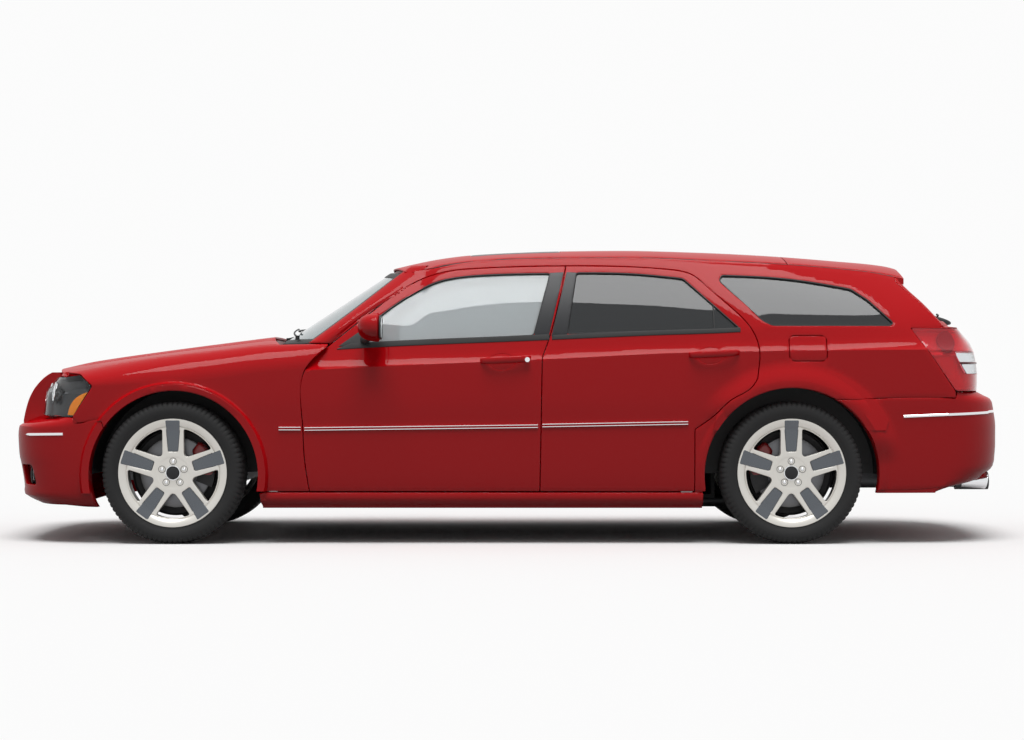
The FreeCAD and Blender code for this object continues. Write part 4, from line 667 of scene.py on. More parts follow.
# Blender objects
def piece(name, part, material, body="root", replaces=(), crease=32.0):
    """Makes one object of a part in millimetres, which rides on a body and may stand for CAD nodes."""
    verts, faces = part
    mesh = bpy.data.meshes.new(name)
    verts = np.clip(np.asarray(verts) * 0.001, CAD_BOX[0], CAD_BOX[1])
    mesh.from_pydata(verts.tolist(), [], faces)
    mesh.polygons.foreach_set("use_smooth", np.ones(len(mesh.polygons), bool))
    mesh.update()
    mesh.validate()
    mesh.set_sharp_from_angle(angle=math.radians(crease))
    mesh.materials.append(material)
    made = bpy.data.objects.new(name, mesh)
    bpy.context.scene.collection.objects.link(made)
    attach(made, body)
    if replaces:
        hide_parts(*replaces)
    return made


def thicken(made, millimetres):
    """Gives an open sheet its wall, inwards."""
    solid = made.modifiers.new("wall", "SOLIDIFY")
    solid.thickness = millimetres * 0.001
    solid.offset = -1
    return made


def linear(value):
    """An sRGB hex colour as linear red, green, blue and alpha."""
    c = np.array([int(value[i:i + 2], 16) for i in (1, 3, 5)]) / 255
    return (*np.where(c <= 0.04045, c / 12.92, ((c + 0.055) / 1.055) ** 2.4).tolist(), 1.0)


def add(tree, kind, inputs=(), **settings):
    """Adds a shader node, sets its properties and feeds its sockets with values or other sockets."""
    made = tree.nodes.new(kind)
    for name, value in settings.items():
        setattr(made, name, value)
    for name, value in dict(inputs).items():
        if isinstance(value, bpy.types.NodeSocket):
            tree.links.new(value, made.inputs[name])
        else:
            made.inputs[name].default_value = value
    return made


def finish(name, colour, grain=0.0, depth=0.0, tint=0.0, stretch=(1, 1, 1), **sockets):
    """Principled material; grain is the size in mm of a noise that lifts the surface by depth mm and
    darkens its colour by the share tint. Keywords are the shader's own sockets, with _ for spaces."""
    made = bpy.data.materials.new(name)
    made.use_nodes = True
    tree = made.node_tree
    shader = tree.nodes["Principled BSDF"]
    shader.inputs["Base Color"].default_value = linear(colour)
    for key, value in sockets.items():
        shader.inputs[key.replace("_", " ")].default_value = value
    if grain:
        place = add(tree, "ShaderNodeTexCoord")
        scaled = add(tree, "ShaderNodeMapping", {"Vector": place.outputs["Object"], "Scale": stretch})
        noise = add(tree, "ShaderNodeTexNoise", {"Vector": scaled.outputs["Vector"], "Scale": 1000 / grain,
                                                 "Detail": 3.0, "Roughness": 0.55})
        if depth:
            bump = add(tree, "ShaderNodeBump", {"Height": noise.outputs["Fac"], "Distance": depth / 1000})
            tree.links.new(bump.outputs["Normal"], shader.inputs["Normal"])
        if tint:
            dark = [c * (1 - tint) for c in linear(colour)[:3]] + [1.0]
            mix = add(tree, "ShaderNodeMix", data_type="RGBA")
            tree.links.new(noise.outputs["Fac"], mix.inputs[0])
            mix.inputs[6].default_value = dark
            mix.inputs[7].default_value = linear(colour)
            tree.links.new(mix.outputs[2], shader.inputs["Base Color"])
    return made


def materials(settings):
    """All the finishes of the car, by a short key."""
    paint, tint = settings.paint, settings.privacy
    return {
        # Deep red with fine flakes under clear coat: bright where it faces up, dark red on the low sides
        "paint": finish("paint_red", paint, 0.25, 0.0, 0.08, Roughness=0.5, Specular_IOR_Level=0.0,
                        Coat_Weight=0.3, Coat_Roughness=0.03, Coat_IOR=1.5),
        # Front door glass: its pale colour is a painted reflection of the white studio, through which the cabin
        # shows softly
        "glass": finish("glass_pale_painted_reflection", "#DDE3E5", Roughness=0.0, IOR=1.45, Transmission_Weight=0.62),
        # Windscreen: laminated, its blue-grey partly the glass's own tint and partly a painted reflection of
        # the studio
        "screen": finish("glass_laminated_painted_reflection", "#8FA3A8", Roughness=0.0, IOR=1.45, Transmission_Weight=0.45),
        # Rear glass: dark privacy tint that still lets the cabin show faintly
        "privacy": finish("glass_privacy", tint, Roughness=0.0, IOR=1.45, Transmission_Weight=0.55),
        # Lamp covers: clear polycarbonate
        "lens": finish("polycarbonate_clear", "#F2F4F5", Roughness=0.0, IOR=1.3, Transmission_Weight=1.0),
        # Lamp trays: black plastic with a satin gloss
        "tray": finish("polycarbonate_black", "#1C1F23", Roughness=0.3, Coat_Weight=0.2),
        "red_tray": finish("acrylic_red_deep", "#D8142A", Roughness=0.25, Coat_Weight=0.5),
        "red_dome": finish("acrylic_red_dark", "#5E0A10", Roughness=0.3, Specular_IOR_Level=0.2),
        # Number plate: blank white coated aluminium
        "plate": finish("plate_white", "#D9DADA", 3.0, 0.02, 0.04, Roughness=0.4),
        # Bent tube and sheet: dark coated steel
        "steel_dark": finish("steel_coated", "#4A4B4D", 3.0, 0.08, 0.25, Metallic=0.8, Roughness=0.5),
        # Floor pan: sprayed underseal
        "underseal": finish("underseal_sprayed", "#1E1F20", 5.0, 0.4, 0.3, Roughness=0.85),
        # Tail lamps: clear red acrylic
        "red_lens": finish("acrylic_red", "#F23A4A", Roughness=0.0, IOR=1.3, Transmission_Weight=0.7,
                           Coat_Weight=0.3),
        # Side markers: amber acrylic
        "amber": finish("acrylic_amber", "#FF9420", Roughness=0.2, IOR=1.3, Transmission_Weight=0.1),
        # Mirror-bright chrome on the door locks, strips and lamp bowls
        "chrome": finish("chrome_polished", "#E4E6E8", Metallic=1.0, Roughness=0.05),
        # Wheels: machined alloy with a soft sheen
        "alloy": finish("alloy_painted_silver", "#E6E3DC", 0.3, 0.0, 0.05, Metallic=0.6, Roughness=0.3,
                        Coat_Weight=0.4, Coat_Roughness=0.05),
        # Spoke pockets: darker polished alloy
        "insert": finish("alloy_polished_dark", "#62666B", Metallic=0.85, Roughness=0.25),
        # Brake discs and other bare steel, turned to fine rings
        "steel": finish("steel_turned", "#707174", 2.0, 0.05, 0.15, Metallic=1.0, Roughness=0.38),
        # Cast and formed parts under the car
        "iron": finish("iron_cast", "#3A3A3B", 3.0, 0.3, 0.3, Metallic=0.7, Roughness=0.6),
        "aluminium": finish("aluminium_cast", "#9B9DA0", 2.5, 0.2, 0.2, Metallic=0.9, Roughness=0.45),
        # Tyres: matt rubber, slightly dusty
        "rubber": finish("rubber_tyre", "#131314", 4.0, 0.12, 0.25, Roughness=0.78),
        # Window seals and gap fillers: softer, blacker rubber
        "seal": finish("rubber_seal", "#0D0D0E", 1.5, 0.05, Roughness=0.6),
        # Grained black plastic: arch liners, cowl, grille mesh, mirror feet
        "plastic": finish("polypropylene_grained", "#18191A", 1.2, 0.12, 0.2, Roughness=0.55),
        # Gloss black pillars between the side windows
        "gloss": finish("acrylic_gloss_black", "#2B2C2F", Roughness=0.35, Specular_IOR_Level=0.3),
        # Dashboard and door cards: dark grained plastic
        "cabin": finish("dashboard_grained", "#35363A", 1.4, 0.15, 0.2, Roughness=0.6),
        # Seats: fine-grained dark leather
        "leather": finish("leather_slate", settings.leather, 1.6, 0.18, 0.25, Roughness=0.46,
                          Sheen_Weight=0.15),
        # Carpets and load floor: short dark pile
        "carpet": finish("carpet_charcoal", "#232325", 1.0, 0.9, 0.5, Roughness=0.95, Sheen_Weight=0.6),
        # Headlining: pale knitted fabric
        "lining": finish("headlining_grey", "#8B8780", 1.2, 0.2, 0.15, Roughness=0.9),
        # Brake calipers
        "caliper": finish("caliper_red", "#8C1218", 2.0, 0.1, 0.1, Roughness=0.4, Coat_Weight=0.4),
        # Screens and gauge faces
        "dial": finish("dial_black", "#060708", Roughness=0.2),
    }


# Painted panels
def creases(first, last, shift=7.0):
    """Lines that a side panel's mesh follows: the shoulder crease and the belt."""
    return [line_of(SHOULDER_Z, first, last, s) for s in (-shift, 0, shift)] + [line_of(BELT_Z, first, last)]


def haunch_lines(first, last):
    return [arc(REAR_ARCH[:2], r, first, last, 14) for r in (464, 470, 517, 560)]


def girth(points):
    """Side-view points with their height taken as the fender's girth."""
    points = np.asarray(points, float)
    return np.stack([points[:, 0], fender_girth(points[:, 0], points[:, 1])], -1)


def fender_part():
    high, low = arch_angle(FRONT_ARCH, -1965, 605), arch_angle(FRONT_ARCH, -1236, 257)
    hood = np.array([(x, smooth(HOOD_EDGE_Z, x)) for x in np.linspace(-900, -2205, 90)])
    lamp = chain((-2205, 846), (-2117, 836), (-2050, 777), (-2150, 623), (-2119, 593), (-2005, 618))
    runs = [girth(curve(FENDER_DOOR)), girth(hood), *[girth(curve(run)) for run in lamp],
            [(-2005, 618), (-1965, 605)], arc(FRONT_ARCH[:2], FRONT_ARCH[2], high, low),
            [(-1236, 257), (-978, 257)]]
    lines = creases(-2180, -900)[:3]
    lines += [arc(FRONT_ARCH[:2], r, high - 2, low + 4, 12) for r in (445, 454, 464)]
    return patch(fender_skin, [ring(runs, 10)], lines=lines, spacing=PANEL_SPACING)


def door_part(runs, glass, first, last, handle):
    lines = creases(first + 40, last - 20)
    if first > 0:
        lines += haunch_lines(110, 170)
    rings = [ring(runs, 12), inset(ring(glass, 14), -4), ellipse(handle, 65, 41, 2.0)]
    return patch(side_skin, rings, lines=lines, spacing=PANEL_SPACING)


def quarter_part():
    first = 360 - math.degrees(math.acos((977 - REAR_ARCH[0]) / REAR_ARCH[2]))
    rail = np.array([(x, smooth(RAIL_Z, x) - 4) for x in np.linspace(1948, -455, 160)])
    runs = [[(921, 257), (977, 257)], arc(REAR_ARCH[:2], REAR_ARCH[2], first, BUMPER_ANGLE),
            [*BUMPER_SEAM, (2214, 718)], *chain((2214, 718), (2213, 752), (1998, 1066), (2168, 1072)),
            [(2168, 1072), (2065, 1190), (1960, 1294)], [(1960, 1294), (1948, 1322)], rail,
            [(-455, 1346), (-492, 1283)], curve(DOOR_TOP)[2:], REAR_TOP, REAR_BACK, REAR_HAUNCH,
            [(921, 565), (921, 257)]]
    lines = creases(1240, 2150) + haunch_lines(35, 160)
    openings = [inset(ring(QUARTER_GLASS, 12), -2), inset(ring(FUEL_LID, 37), 0)]
    return patch(side_skin, [ring(runs, 10), *openings],
                 lines=lines, spacing=PANEL_SPACING, hole_gap=1.9)


def sill_part():
    outline = ring(loop((-1211, 178), (960, 178), (964, 252), (-1225, 252)), 8)
    return patch(sill_skin, [outline], spacing=13, grain=(1.6, 1), gap=1.0)


def crown_ring(low, back, front, radius):
    """Outline of a panel that lies across the car, from its left edge, its back and its front."""
    return ring([low, back, low[::-1] * (1, -1), front], radius)


def hood_part():
    s = np.linspace(1, -1, 40)
    nose = -2318 + 78 * np.abs(s) ** 2.5
    front = np.stack([nose, s * (smooth(HOOD_EDGE_Y, nose) - 3)], -1)
    x = np.linspace(-2240, -1136, 90)
    outline = crown_ring(plan_edge(HOOD_EDGE_Y, x, 3), bow(-1216, 80, 759, 40), front, 16)
    x = x[2:-3]
    lines = [np.stack([x, side * (k + 0.08 * (x + 2300))], -1)
             for side in (-1, 1) for k in (322, 340, 382, 402)]
    return patch(hood_skin, [outline], spacing=22, lines=lines, roll=4, wall=14, gap=-1.1)


def sunroof_ring(grow, radius):
    return ring(loop((-192 - grow, -394 - grow), (266 + grow, -394 - grow), (266 + grow, 394 + grow),
                     (-192 - grow, 394 + grow)), radius)


def roof_part():
    front = bow(ROOF_FRONT, ROOF_BOW, ROOF_FRONT_HALF, 40, -1)
    low = plan_edge(RAIL_Y, np.linspace(ROOF_FRONT + ROOF_BOW, ROOF_BACK, 120), 22)
    outline = crown_ring(low, bow(ROOF_BACK, 0, 610, 20), front, 14)
    return patch(roof_skin, [outline, sunroof_ring(2, 40)], spacing=26, gap=2, roll=3)


def sunroof_part():
    return patch(roof_skin, [sunroof_ring(-2, 38)], spacing=26, gap=0, roll=2, wall=6)


def gate_roof_part():
    low = plan_edge(RAIL_Y, np.linspace(1415, 1990, 40), 22)
    outline = crown_ring(low, bow(2016, -26, 566, 30), bow(1415, 0, 608, 20, -1), 14)
    return patch(roof_skin, [outline], spacing=24, gap=1, roll=5, wall=18)


def seen_side(lift, facing, points, step=9.0):
    """Side-view points carried onto an end surface."""
    line = points if isinstance(points, np.ndarray) else curve(points, step)
    return np.stack([from_side(lift, facing, line[:, 0], line[:, 1]), line[:, 1]], -1)


def seen_end(lift, facing, points, step=9.0):
    """End-view points carried onto an end surface."""
    line = points if isinstance(points, np.ndarray) else curve(points, step)
    return np.stack([from_end(lift, facing, line[:, 0], line[:, 1]), line[:, 1]], -1)


def side_runs(lift, facing, runs, step=9.0):
    return [seen_side(lift, facing, run, step) for run in runs]


def end_runs(lift, facing, runs):
    return [seen_end(lift, facing, run) for run in runs]


def end_ring(lift, facing, corners, radius):
    """Closed outline on an end surface, given by its corners in the end view."""
    return ring(end_runs(lift, facing, loop(*corners)), radius)


def at_side(lift, facing, x, z):
    """One side-view point on an end surface."""
    return seen_side(lift, facing, np.array([(x, z)], float))[0]


def at_end(lift, facing, y, z):
    """One end-view point on an end surface."""
    return seen_end(lift, facing, np.array([(y, z)], float))[0]


def flip(runs):
    """The mirror image of a chain of runs, in the opposite order."""
    return [run[::-1] * (-1, 1) for run in runs[::-1]]


def lamp_edges():
    """Foot, inner edge and start of the top of the headlamp, which the bumper and the lens share."""
    foot = seen_side(LAMP, -1, [(-2150, 623), (-2280, 631)])
    edge = seen_end(LAMP, -1, [(-530, 633), (-540, 700), (-575, 770), (-640, 823)])
    return [foot, edge, np.linspace(edge[-1], at_side(LAMP, -1, -2203, 823), 12)]


def front_bumper_part():
    first, last = arch_angle(FRONT_ARCH, -1965, 605), arch_angle(FRONT_ARCH, -2034, 186) % 360
    side = seen_side(LAMP, -1, arc(FRONT_ARCH[:2], FRONT_ARCH[2], first, last))
    left = [side[::-1], *side_runs(LAMP, -1, chain((-1965, 605), (-2005, 618), (-2119, 593), (-2150, 623))),
            *lamp_edges(), seen_side(LAMP, -1, [(-2203, 823), (-2212, 842)])]
    top, foot = left[-1][-1], side[-1]
    runs = [*left, level_line(top[0], -top[0], 60, top[1]), *flip(left),
            level_line(-foot[0], foot[0], 160, foot[1])]
    intake = end_ring(LAMP, -1, [(520, 268), (-520, 268), (-470, 398), (470, 398)], 22)
    fog = end_ring(LAMP, -1, [(-640, 285), (-775, 285), (-765, 385), (-620, 385)], 22)
    ledge = [level_line(-1100, 1100, 160, z) for z in (575, 584, 592, 600, 607, 614, 622)]
    return patch(LAMP, [ring(runs, 10), intake, fog, fog * (-1, 1)], spacing=PANEL_SPACING, roll=3, wall=24,
                 lines=ledge)


def grille_ring():
    return end_ring(NOSE, -1, [(425, 618), (-425, 618), (-462, 822), (462, 822)], 20)


def nose_part():
    outer = end_ring(NOSE, -1, [(486, 588), (-486, 588), (-508, 846), (508, 846)], 26)
    return patch(NOSE, [outer, grille_ring()], spacing=14, roll=9, wall=150)


def rear_bumper_part():
    last = arch_angle(REAR_ARCH, 1822.5, 263)
    side = seen_side(BUMPER, 1, arc(REAR_ARCH[:2], REAR_ARCH[2], BUMPER_ANGLE, last))
    foot = seen_side(BUMPER, 1, [(1822, 263), (2000, 264), (2140, 276), (2290, 300)], 12)
    seam = seen_side(BUMPER, 1, [*BUMPER_SEAM, (2213, 718)])
    rise = seen_side(BUMPER, 1, [(2213, 718), (2222, 748)])
    high, low = rise[-1], foot[-1]
    t = np.linspace(-1, 1, 140)
    bottom = np.stack([low[0] * -t, low[1] + 30 * (1 - np.abs(t) ** 3)], -1)
    left = [rise[::-1], seam[::-1], side, foot]
    runs = [*left, bottom, *flip(left), level_line(-high[0], high[0], 140, high[1])]
    fold = seen_side(BUMPER, 1, [(1906, 359), (2100, 372), (2368, 393)], 12)
    lines = [fold, level_line(fold[-1][0], -fold[-1][0], 90, fold[-1][1]), fold * (-1, 1)]
    lines += [level_line(-1100, 1100, 150, z) for z in (694, 706, 716, 726)]
    return patch(BUMPER, [np.concatenate([run[:-1] for run in runs])], spacing=PANEL_SPACING, roll=3, wall=20,
                 lines=lines)


def gate_part():
    outline = end_ring(GATE, 1, [(-545, 731), (545, 731), (598, 1072), (-598, 1072)], 14)
    plate = end_ring(GATE, 1, [(-270, 770), (270, 770), (262, 925), (-262, 925)], 24)
    return patch(GATE, [outline, plate], spacing=17, roll=4, wall=22)


def gate_upper_part():
    roof = [(562, 1312), (470, 1338), (300, 1362), (0, 1374), (-300, 1362), (-470, 1338), (-562, 1312)]
    runs = [*chain((-672, 1078), (672, 1078), (562, 1312)), roof, [(-562, 1312), (-672, 1078)]]
    hole = end_ring(BACK, 1, [(-600, 1105), (600, 1105), (505, 1292), (-505, 1292)], 30)
    return patch(BACK, [ring(end_runs(BACK, 1, runs), 20), hole], spacing=17, roll=4, wall=10)


def pillar_front_part():
    """Windscreen pillar: rows of points from the door line round to the edge of the glass."""
    z = np.linspace(991, 1384, 34)[:, None]
    share = np.linspace(-0.1, 1, 12)[None, :]
    line = curve([(-890, 975), (-639, 1179), (-487, 1287), (-450, 1346), (-428, 1385)], 6)
    order = np.argsort(line[:, 1])
    door = np.interp(z, line[order, 1], line[order, 0]) - 4
    start = np.interp(z, *PILLAR_FOOT)
    y0 = side_y(start, z)
    y1 = y0 - 48
    across = start + 4 + (screen_skin(y1, z)[..., 0] - start - 4) * share
    across -= 11 * np.sin(np.pi * np.clip(share, 0, 1))
    x = np.where(share < 0, start + (door - start) * (-share / 0.1), across)
    y = np.where(share < 0, side_y(x, z), y0 + (y1 - y0) * share)
    points = np.stack([x, -(y + PROUD), z + 0 * x], -1)
    return outward_sheet(lattice(points), np.array([-900.0, 0, 1000]))


def outward_sheet(part, middle_point):
    """An open sheet with its faces turned away from a point."""
    verts, faces = part
    away = 0.0
    for f in faces[:: max(1, len(faces) // 200)]:
        a, b, c = verts[f[0]], verts[f[1]], verts[f[2]]
        away += float(np.sign(np.cross(b - a, c - a) @ (a - middle_point)))
    return part if away > 0 else (verts, [list(f)[::-1] for f in faces])


def pillar_back_part():
    """Rear pillar: closes the body side to the frame of the tailgate glass."""
    z = np.linspace(1072, 1318, 26)
    x = np.interp(z, [1072, 1190, 1294, 1322], [2168, 2065, 1960, 1948]) - 2
    y = side_y(x, z) + PROUD
    width = np.interp(z, [1072, 1330], [688, 564])
    inner = BACK(from_end(BACK, 1, -width, z), z)
    outer = np.stack([x, -y, z], -1)
    share = np.linspace(0, 1, 10)[None, :, None]
    bulge = np.sin(np.pi * share) * np.array([14.0, 0, 4])
    return outward_sheet(lattice(outer[:, None] + (inner - outer)[:, None] * share + bulge),
                         np.array([1900.0, -300, 1100]))


def lamp_shelf_part():
    """Closes the body between the top of the tail lamp and the foot of the rear pillar."""
    run = np.linspace(at_side(GATE, 1, 2150, 1066), at_end(GATE, 1, -606, 1066), 30)
    start = bare_side(np.array([2150.0]), np.array([1071.0]))
    y, z = np.linspace(float(start[0, 1]) + 10, -640, 29), np.full(29, 1080.0)
    rows = np.stack([GATE(run[:, 0], run[:, 1] - 3) - (4, 0, 0), GATE(run[:, 0], run[:, 1] + 3),
                     np.concatenate([start, BACK(from_end(BACK, 1, y, z), z)])])
    return outward_sheet(lattice(rows), np.array([1900.0, -300, 900]))


# Glass
def pane_part(outline, depth):
    return patch(lowered(bare_side, depth), [outline], spacing=24, gap=0, roll=0, slab=4.0)


def screen_ring():
    """Outline of the windscreen: its foot, the line of the pillars, and its top under the roof's edge."""
    z = np.linspace(992, 1366, 40)
    half = side_y(np.interp(z, *PILLAR_FOOT), z) - 50
    y = np.linspace(half[-1], -half[-1], 50)
    edge = ROOF_FRONT - 10 + ROOF_BOW * (y / ROOF_FRONT_HALF) ** 2
    top = SCREEN_Z + (edge - SCREEN_X - SCREEN_WRAP * y * y) / SCREEN_RAKE
    right = np.stack([half, z], -1)
    left = np.stack([-half[::-1], z[::-1]], -1)
    keep = right[:, 1] < top[0] - 4
    return ring([level_line(-half[0], half[0], 60, 992), right[keep], np.stack([y, top], -1),
                 left[keep[::-1]]], 18)


def windscreen_part():
    return patch(lowered(screen_skin, 6), [screen_ring()], spacing=32, gap=1, roll=0, slab=5.0)


def back_glass_part():
    hole = end_ring(BACK, 1, [(-604, 1101), (604, 1101), (508, 1296), (-508, 1296)], 32)
    return patch(lowered(BACK, 12), [hole], spacing=32, gap=0, roll=0, slab=4.0)


# Lamps
def lens_skin(u, z):
    """Headlamp lens: the bumper's surface, full towards the nose so that it meets the grille surround."""
    point = LAMP(u, z)
    point[..., 0] -= 42 * ease(-point[..., 0], 2150, 2290) * (1 - 0.7 * ease(z, 740, 823))
    return point


def headlamp_ring():
    top = side_runs(LAMP, -1, chain((-2203, 823), (-2117, 833), (-2050, 777), (-2150, 623)))
    return ring([*lamp_edges(), *top], 14)


def tail_ring():
    side = seen_side(GATE, 1, [(1998, 1066), (2213, 752)])
    edge = seen_end(GATE, 1, [(-551, 750), (-600, 1064)])
    return ring([side, np.linspace(side[-1], edge[0], 40), edge, np.linspace(edge[-1], side[0], 30)], 16)


def reverse_ring():
    """Clear part of the tail lamp: from the slanted line on the side to the edge of the tailgate."""
    slant = seen_side(GATE, 1, [(2207, 949), (2238, 891), (2272, 837)])
    inner = seen_end(GATE, 1, [(-566, 837), (-580, 947)])
    return ring([slant, [slant[-1], inner[0]], inner, [inner[-1], slant[0]]], 8)


def reverse_bar():
    """Line across the middle of the clear part of the tail lamp."""
    return np.linspace(at_side(GATE, 1, 2236, 892), at_end(GATE, 1, -573, 892), 14)


def tail_dome_part():
    """Round brake lamp bowl under the upper part of the lens."""
    u = at_side(GATE, 1, 2178, 1012)[0]
    return patch(lowered(GATE, 9), [ellipse((u, 1008), 52, 46, 2.0)], spacing=12, gap=0, roll=6, wall=10)


def bowl(centre, radius, depth):
    """Reflector bowl that opens towards the nose: r = R sqrt(h), as a parabola."""
    h = np.linspace(0, 1, 16)
    return turned_about_x(centre[0] + depth * (1 - h), radius * np.sqrt(h), centre[1:])


def dome(centre, radius, bulge):
    """Round lens that bulges towards the nose."""
    r = np.linspace(0, radius, 12)
    return turned_about_x(centre[0] - bulge * (1 - (r / radius) ** 2), r, centre[1:])


def place_on(lift, y, z, depth):
    """Point behind a surface of the nose, seen from the front; left side for negative y."""
    u, z = at_end(lift, -1, y, z)
    return lift(np.array([u]), np.array([z]))[0] + np.array([depth, 0, 0])


def lit_bowls(depth, places):
    """Reflector bowls with their bright collars, and the small lenses in front of them."""
    bowls, domes = [], []
    for y, z, radius in places:
        front = place_on(lens_skin, y, z, depth)
        bowls += [bowl(front, radius, 52), collar(front, radius, 3.5, 8)]
        domes.append(dome(front + (14, 0, 0), radius * 0.5, 16))
    return joined(*bowls), joined(*domes)


def fog_part():
    return dome(place_on(LAMP, -700, 335, 38), 38, 16)


def fog_ring_part():
    """Black duct round the fog lamp: a plate behind the opening with a collar."""
    outline = end_ring(LAMP, -1, [(-632, 277), (-783, 277), (-773, 393), (-612, 393)], 22)
    plate = patch(lowered(LAMP, 46), [outline], spacing=14, gap=0, roll=0, rim=False)
    return joined(plate, collar(place_on(LAMP, -700, 335, 30), 42, 5, 10))


def basin(lift, outline, depth, taper=6.0, spacing=14.0):
    """Tray behind a lens: its floor lies under the surface and its wall runs up to the outline."""
    low, high = inset(outline, taper), turned(outline, True)
    floor = patch(lowered(lift, depth), [low], spacing=spacing, roll=0, gap=0, rim=False)
    low = turned(low, True)
    rows = []
    for share in np.linspace(0, 1, 5):
        line = low + (high - low) * share
        rows.append(lowered(lift, depth * (1 - share) + 1.0)(line[:, 0], line[:, 1]))
    verts, faces = lattice(np.stack(rows), close_v=True)
    return joined(floor, (verts, [f[::-1] for f in faces]))


def mesh_part(lift, outline, pitch=26.0, bar=2.6):
    """Honeycomb of short bars on a surface behind an opening."""
    low, high = outline.min(0), outline.max(0)
    starts, ends = [], []
    columns = int((high[0] - low[0]) / pitch) + 2
    rows = int((high[1] - low[1]) / (pitch * 0.866)) + 2
    for row in range(rows):
        u = low[0] + pitch * (np.arange(columns) + 0.5 * (row % 2))
        a = np.stack([u, np.full(columns, low[1] + pitch * 0.866 * row)], -1)
        for step in ((0, 0.577), (0.5, -0.289), (-0.5, -0.289)):
            b = a + np.array(step) * pitch
            keep = inside((a + b) / 2, [outline])
            starts.append(a[keep])
            ends.append(b[keep])
    starts, ends = np.concatenate(starts), np.concatenate(ends)
    base, tip = lift(starts[:, 0], starts[:, 1]), lift(ends[:, 0], ends[:, 1])
    along = tip - base
    along /= np.linalg.norm(along, axis=1, keepdims=True)
    out = normal(lift, starts[:, 0], starts[:, 1])
    side = np.cross(along, out)
    corners = [side * bar, out * bar * 2, -side * bar, -out * bar * 2]
    points = np.concatenate([np.stack([end + c for c in corners], 1) for end in (base, tip)], 1)
    index = (np.arange(len(points)) * 8)[:, None]
    faces = []
    for k in range(4):
        faces += (index + np.array([k, (k + 1) % 4, 4 + (k + 1) % 4, 4 + k])).tolist()
    faces += (index + np.array([3, 2, 1, 0])).tolist() + (index + np.array([4, 5, 6, 7])).tolist()
    return points.reshape(-1, 3), faces


# Wheels, in their own frame: Z out of the car, Y up
SPOKE_NEAR, SPOKE_FAR, SPOKE_HALF = 103, 223, 53
BOLT_CIRCLE = 57.5


def window_ring(centre):
    """Opening between two spokes: two arcs about the hub and the parallel edges of the spokes."""
    near = 36 - math.degrees(math.asin(SPOKE_HALF / SPOKE_NEAR))
    far = 36 - math.degrees(math.asin(SPOKE_HALF / SPOKE_FAR))
    inner = arc((0, 0), SPOKE_NEAR, centre - near, centre + near, 5)
    outer = arc((0, 0), SPOKE_FAR, centre + far, centre - far, 8)
    return ring([inner, [inner[-1], outer[0]], outer, [outer[-1], inner[0]]], 13, 5)


def spoke_ring(spoke, near, far, radius):
    """Tapered outline along a spoke, from one (distance, half width) to the other."""
    a = math.radians(spoke)
    u, v = np.array([math.cos(a), math.sin(a)]), np.array([-math.sin(a), math.cos(a)])
    return ring(loop(u * near[0] - v * near[1], u * far[0] - v * far[1], u * far[0] + v * far[1],
                     u * near[0] + v * near[1]), radius, 6)


def insert_face(x, y):
    """Spoke insert: just under the spoke face, then up and over the rim's lip."""
    r = np.hypot(x, y)
    under = wheel_face(x, y)[..., 2] - 1.4
    over = np.interp(r, [216, 224, 236, 250, 262], [94, 97, 102.2, 108, 111.2])
    return np.stack([x, y, np.where(r < 214, under, np.maximum(under, over))], -1)


def wheel_face(x, y):
    """Spoke face: slightly dished towards the hub."""
    r = np.hypot(x, y)
    return np.stack([x, y, 95 - 7 * (1 - np.clip(r / SPOKE_FAR, 0, 1) ** 2)], -1)


def hub_face(x, y):
    return np.stack([x, y, 88.5 + 0 * x], -1)


def wheel_parts():
    """The pieces of one wheel by name, in the wheel's own frame."""
    angles = [90 + 72 * k for k in range(5)]
    bolts = [np.array([BOLT_CIRCLE * math.cos(math.radians(a)), BOLT_CIRCLE * math.sin(math.radians(a)), 0])
             for a in angles]
    holes = [window_ring(a + 36) for a in angles] + [spoke_ring(a, (104, 25), (217, 34), 9) for a in angles]
    face = patch(wheel_face, [circle(229), circle(77.5, 60), *holes, circle(77, 60)], spacing=9, roll=3,
                 wall=34, gap=0)
    lip = lathe([(224, 84), (228, 93), (236, 101), (250, 107), (262, 110.5), (267, 110), (268, 106), (266, 103),
                 (255, 99), (253, 74), (240, 60), (239, -50), (252, -72), (253, -99), (266, -104), (268, -108),
                 (264, -111), (247, -98), (245, -66), (232, -48), (232, 54), (226, 74)], 144)
    plates = [spoke_ring(a, (106, 24.5), (259, 36), 8) for a in angles]
    inserts = [patch(insert_face, [plate], spacing=8, roll=1.2, wall=3, gap=0) for plate in plates]
    nut = lathe([(0, 72), (11, 72), (11, 86), (9.5, 90), (6, 93), (0, 94)], 6, closed=False)
    well = lathe([(16.5, 90.5), (15.5, 90), (15, 72), (0, 71), (0, 69), (17.5, 69), (17.5, 90)], 32)
    nuts, wells = ([(verts + bolt, faces) for bolt in bolts] for verts, faces in (nut, well))
    round_holes = [circle(17, 32) + bolt[:2] for bolt in bolts]
    pocket = patch(hub_face, [circle(76.5, 72), *round_holes, circle(38.5, 48)],
                   spacing=8, roll=1.2, wall=12, gap=0)
    rings = lathe([(38, 84), (38, 92), (36.5, 95), (33, 95.5), (31.5, 93), (31, 84)], 64)
    cap = lathe([(0, 96), (10, 95.6), (20, 94), (27, 92), (31, 89), (31, 62), (0, 62)], 64, closed=False)
    disc = lathe([(73, -28), (172, -28), (175, -26), (175, -16), (168, -15), (168, -13), (175, -12), (175, -2),
                  (172, 0), (90, 0), (86, 4), (86, 27), (73, 29)], 96)
    return {"face": joined(face, pocket), "lip": lip, "inserts": joined(*inserts),
            "nuts": joined(rings, *nuts), "cap": joined(cap, *wells), "disc": disc}


def shield_part():
    """Dust shield behind the brake disc, rolled forward at its edge."""
    return lathe([(70, -36), (190, -36), (206, -33), (214, -24), (216, -24), (208, -36), (192, -39),
                  (70, -39)], 96)


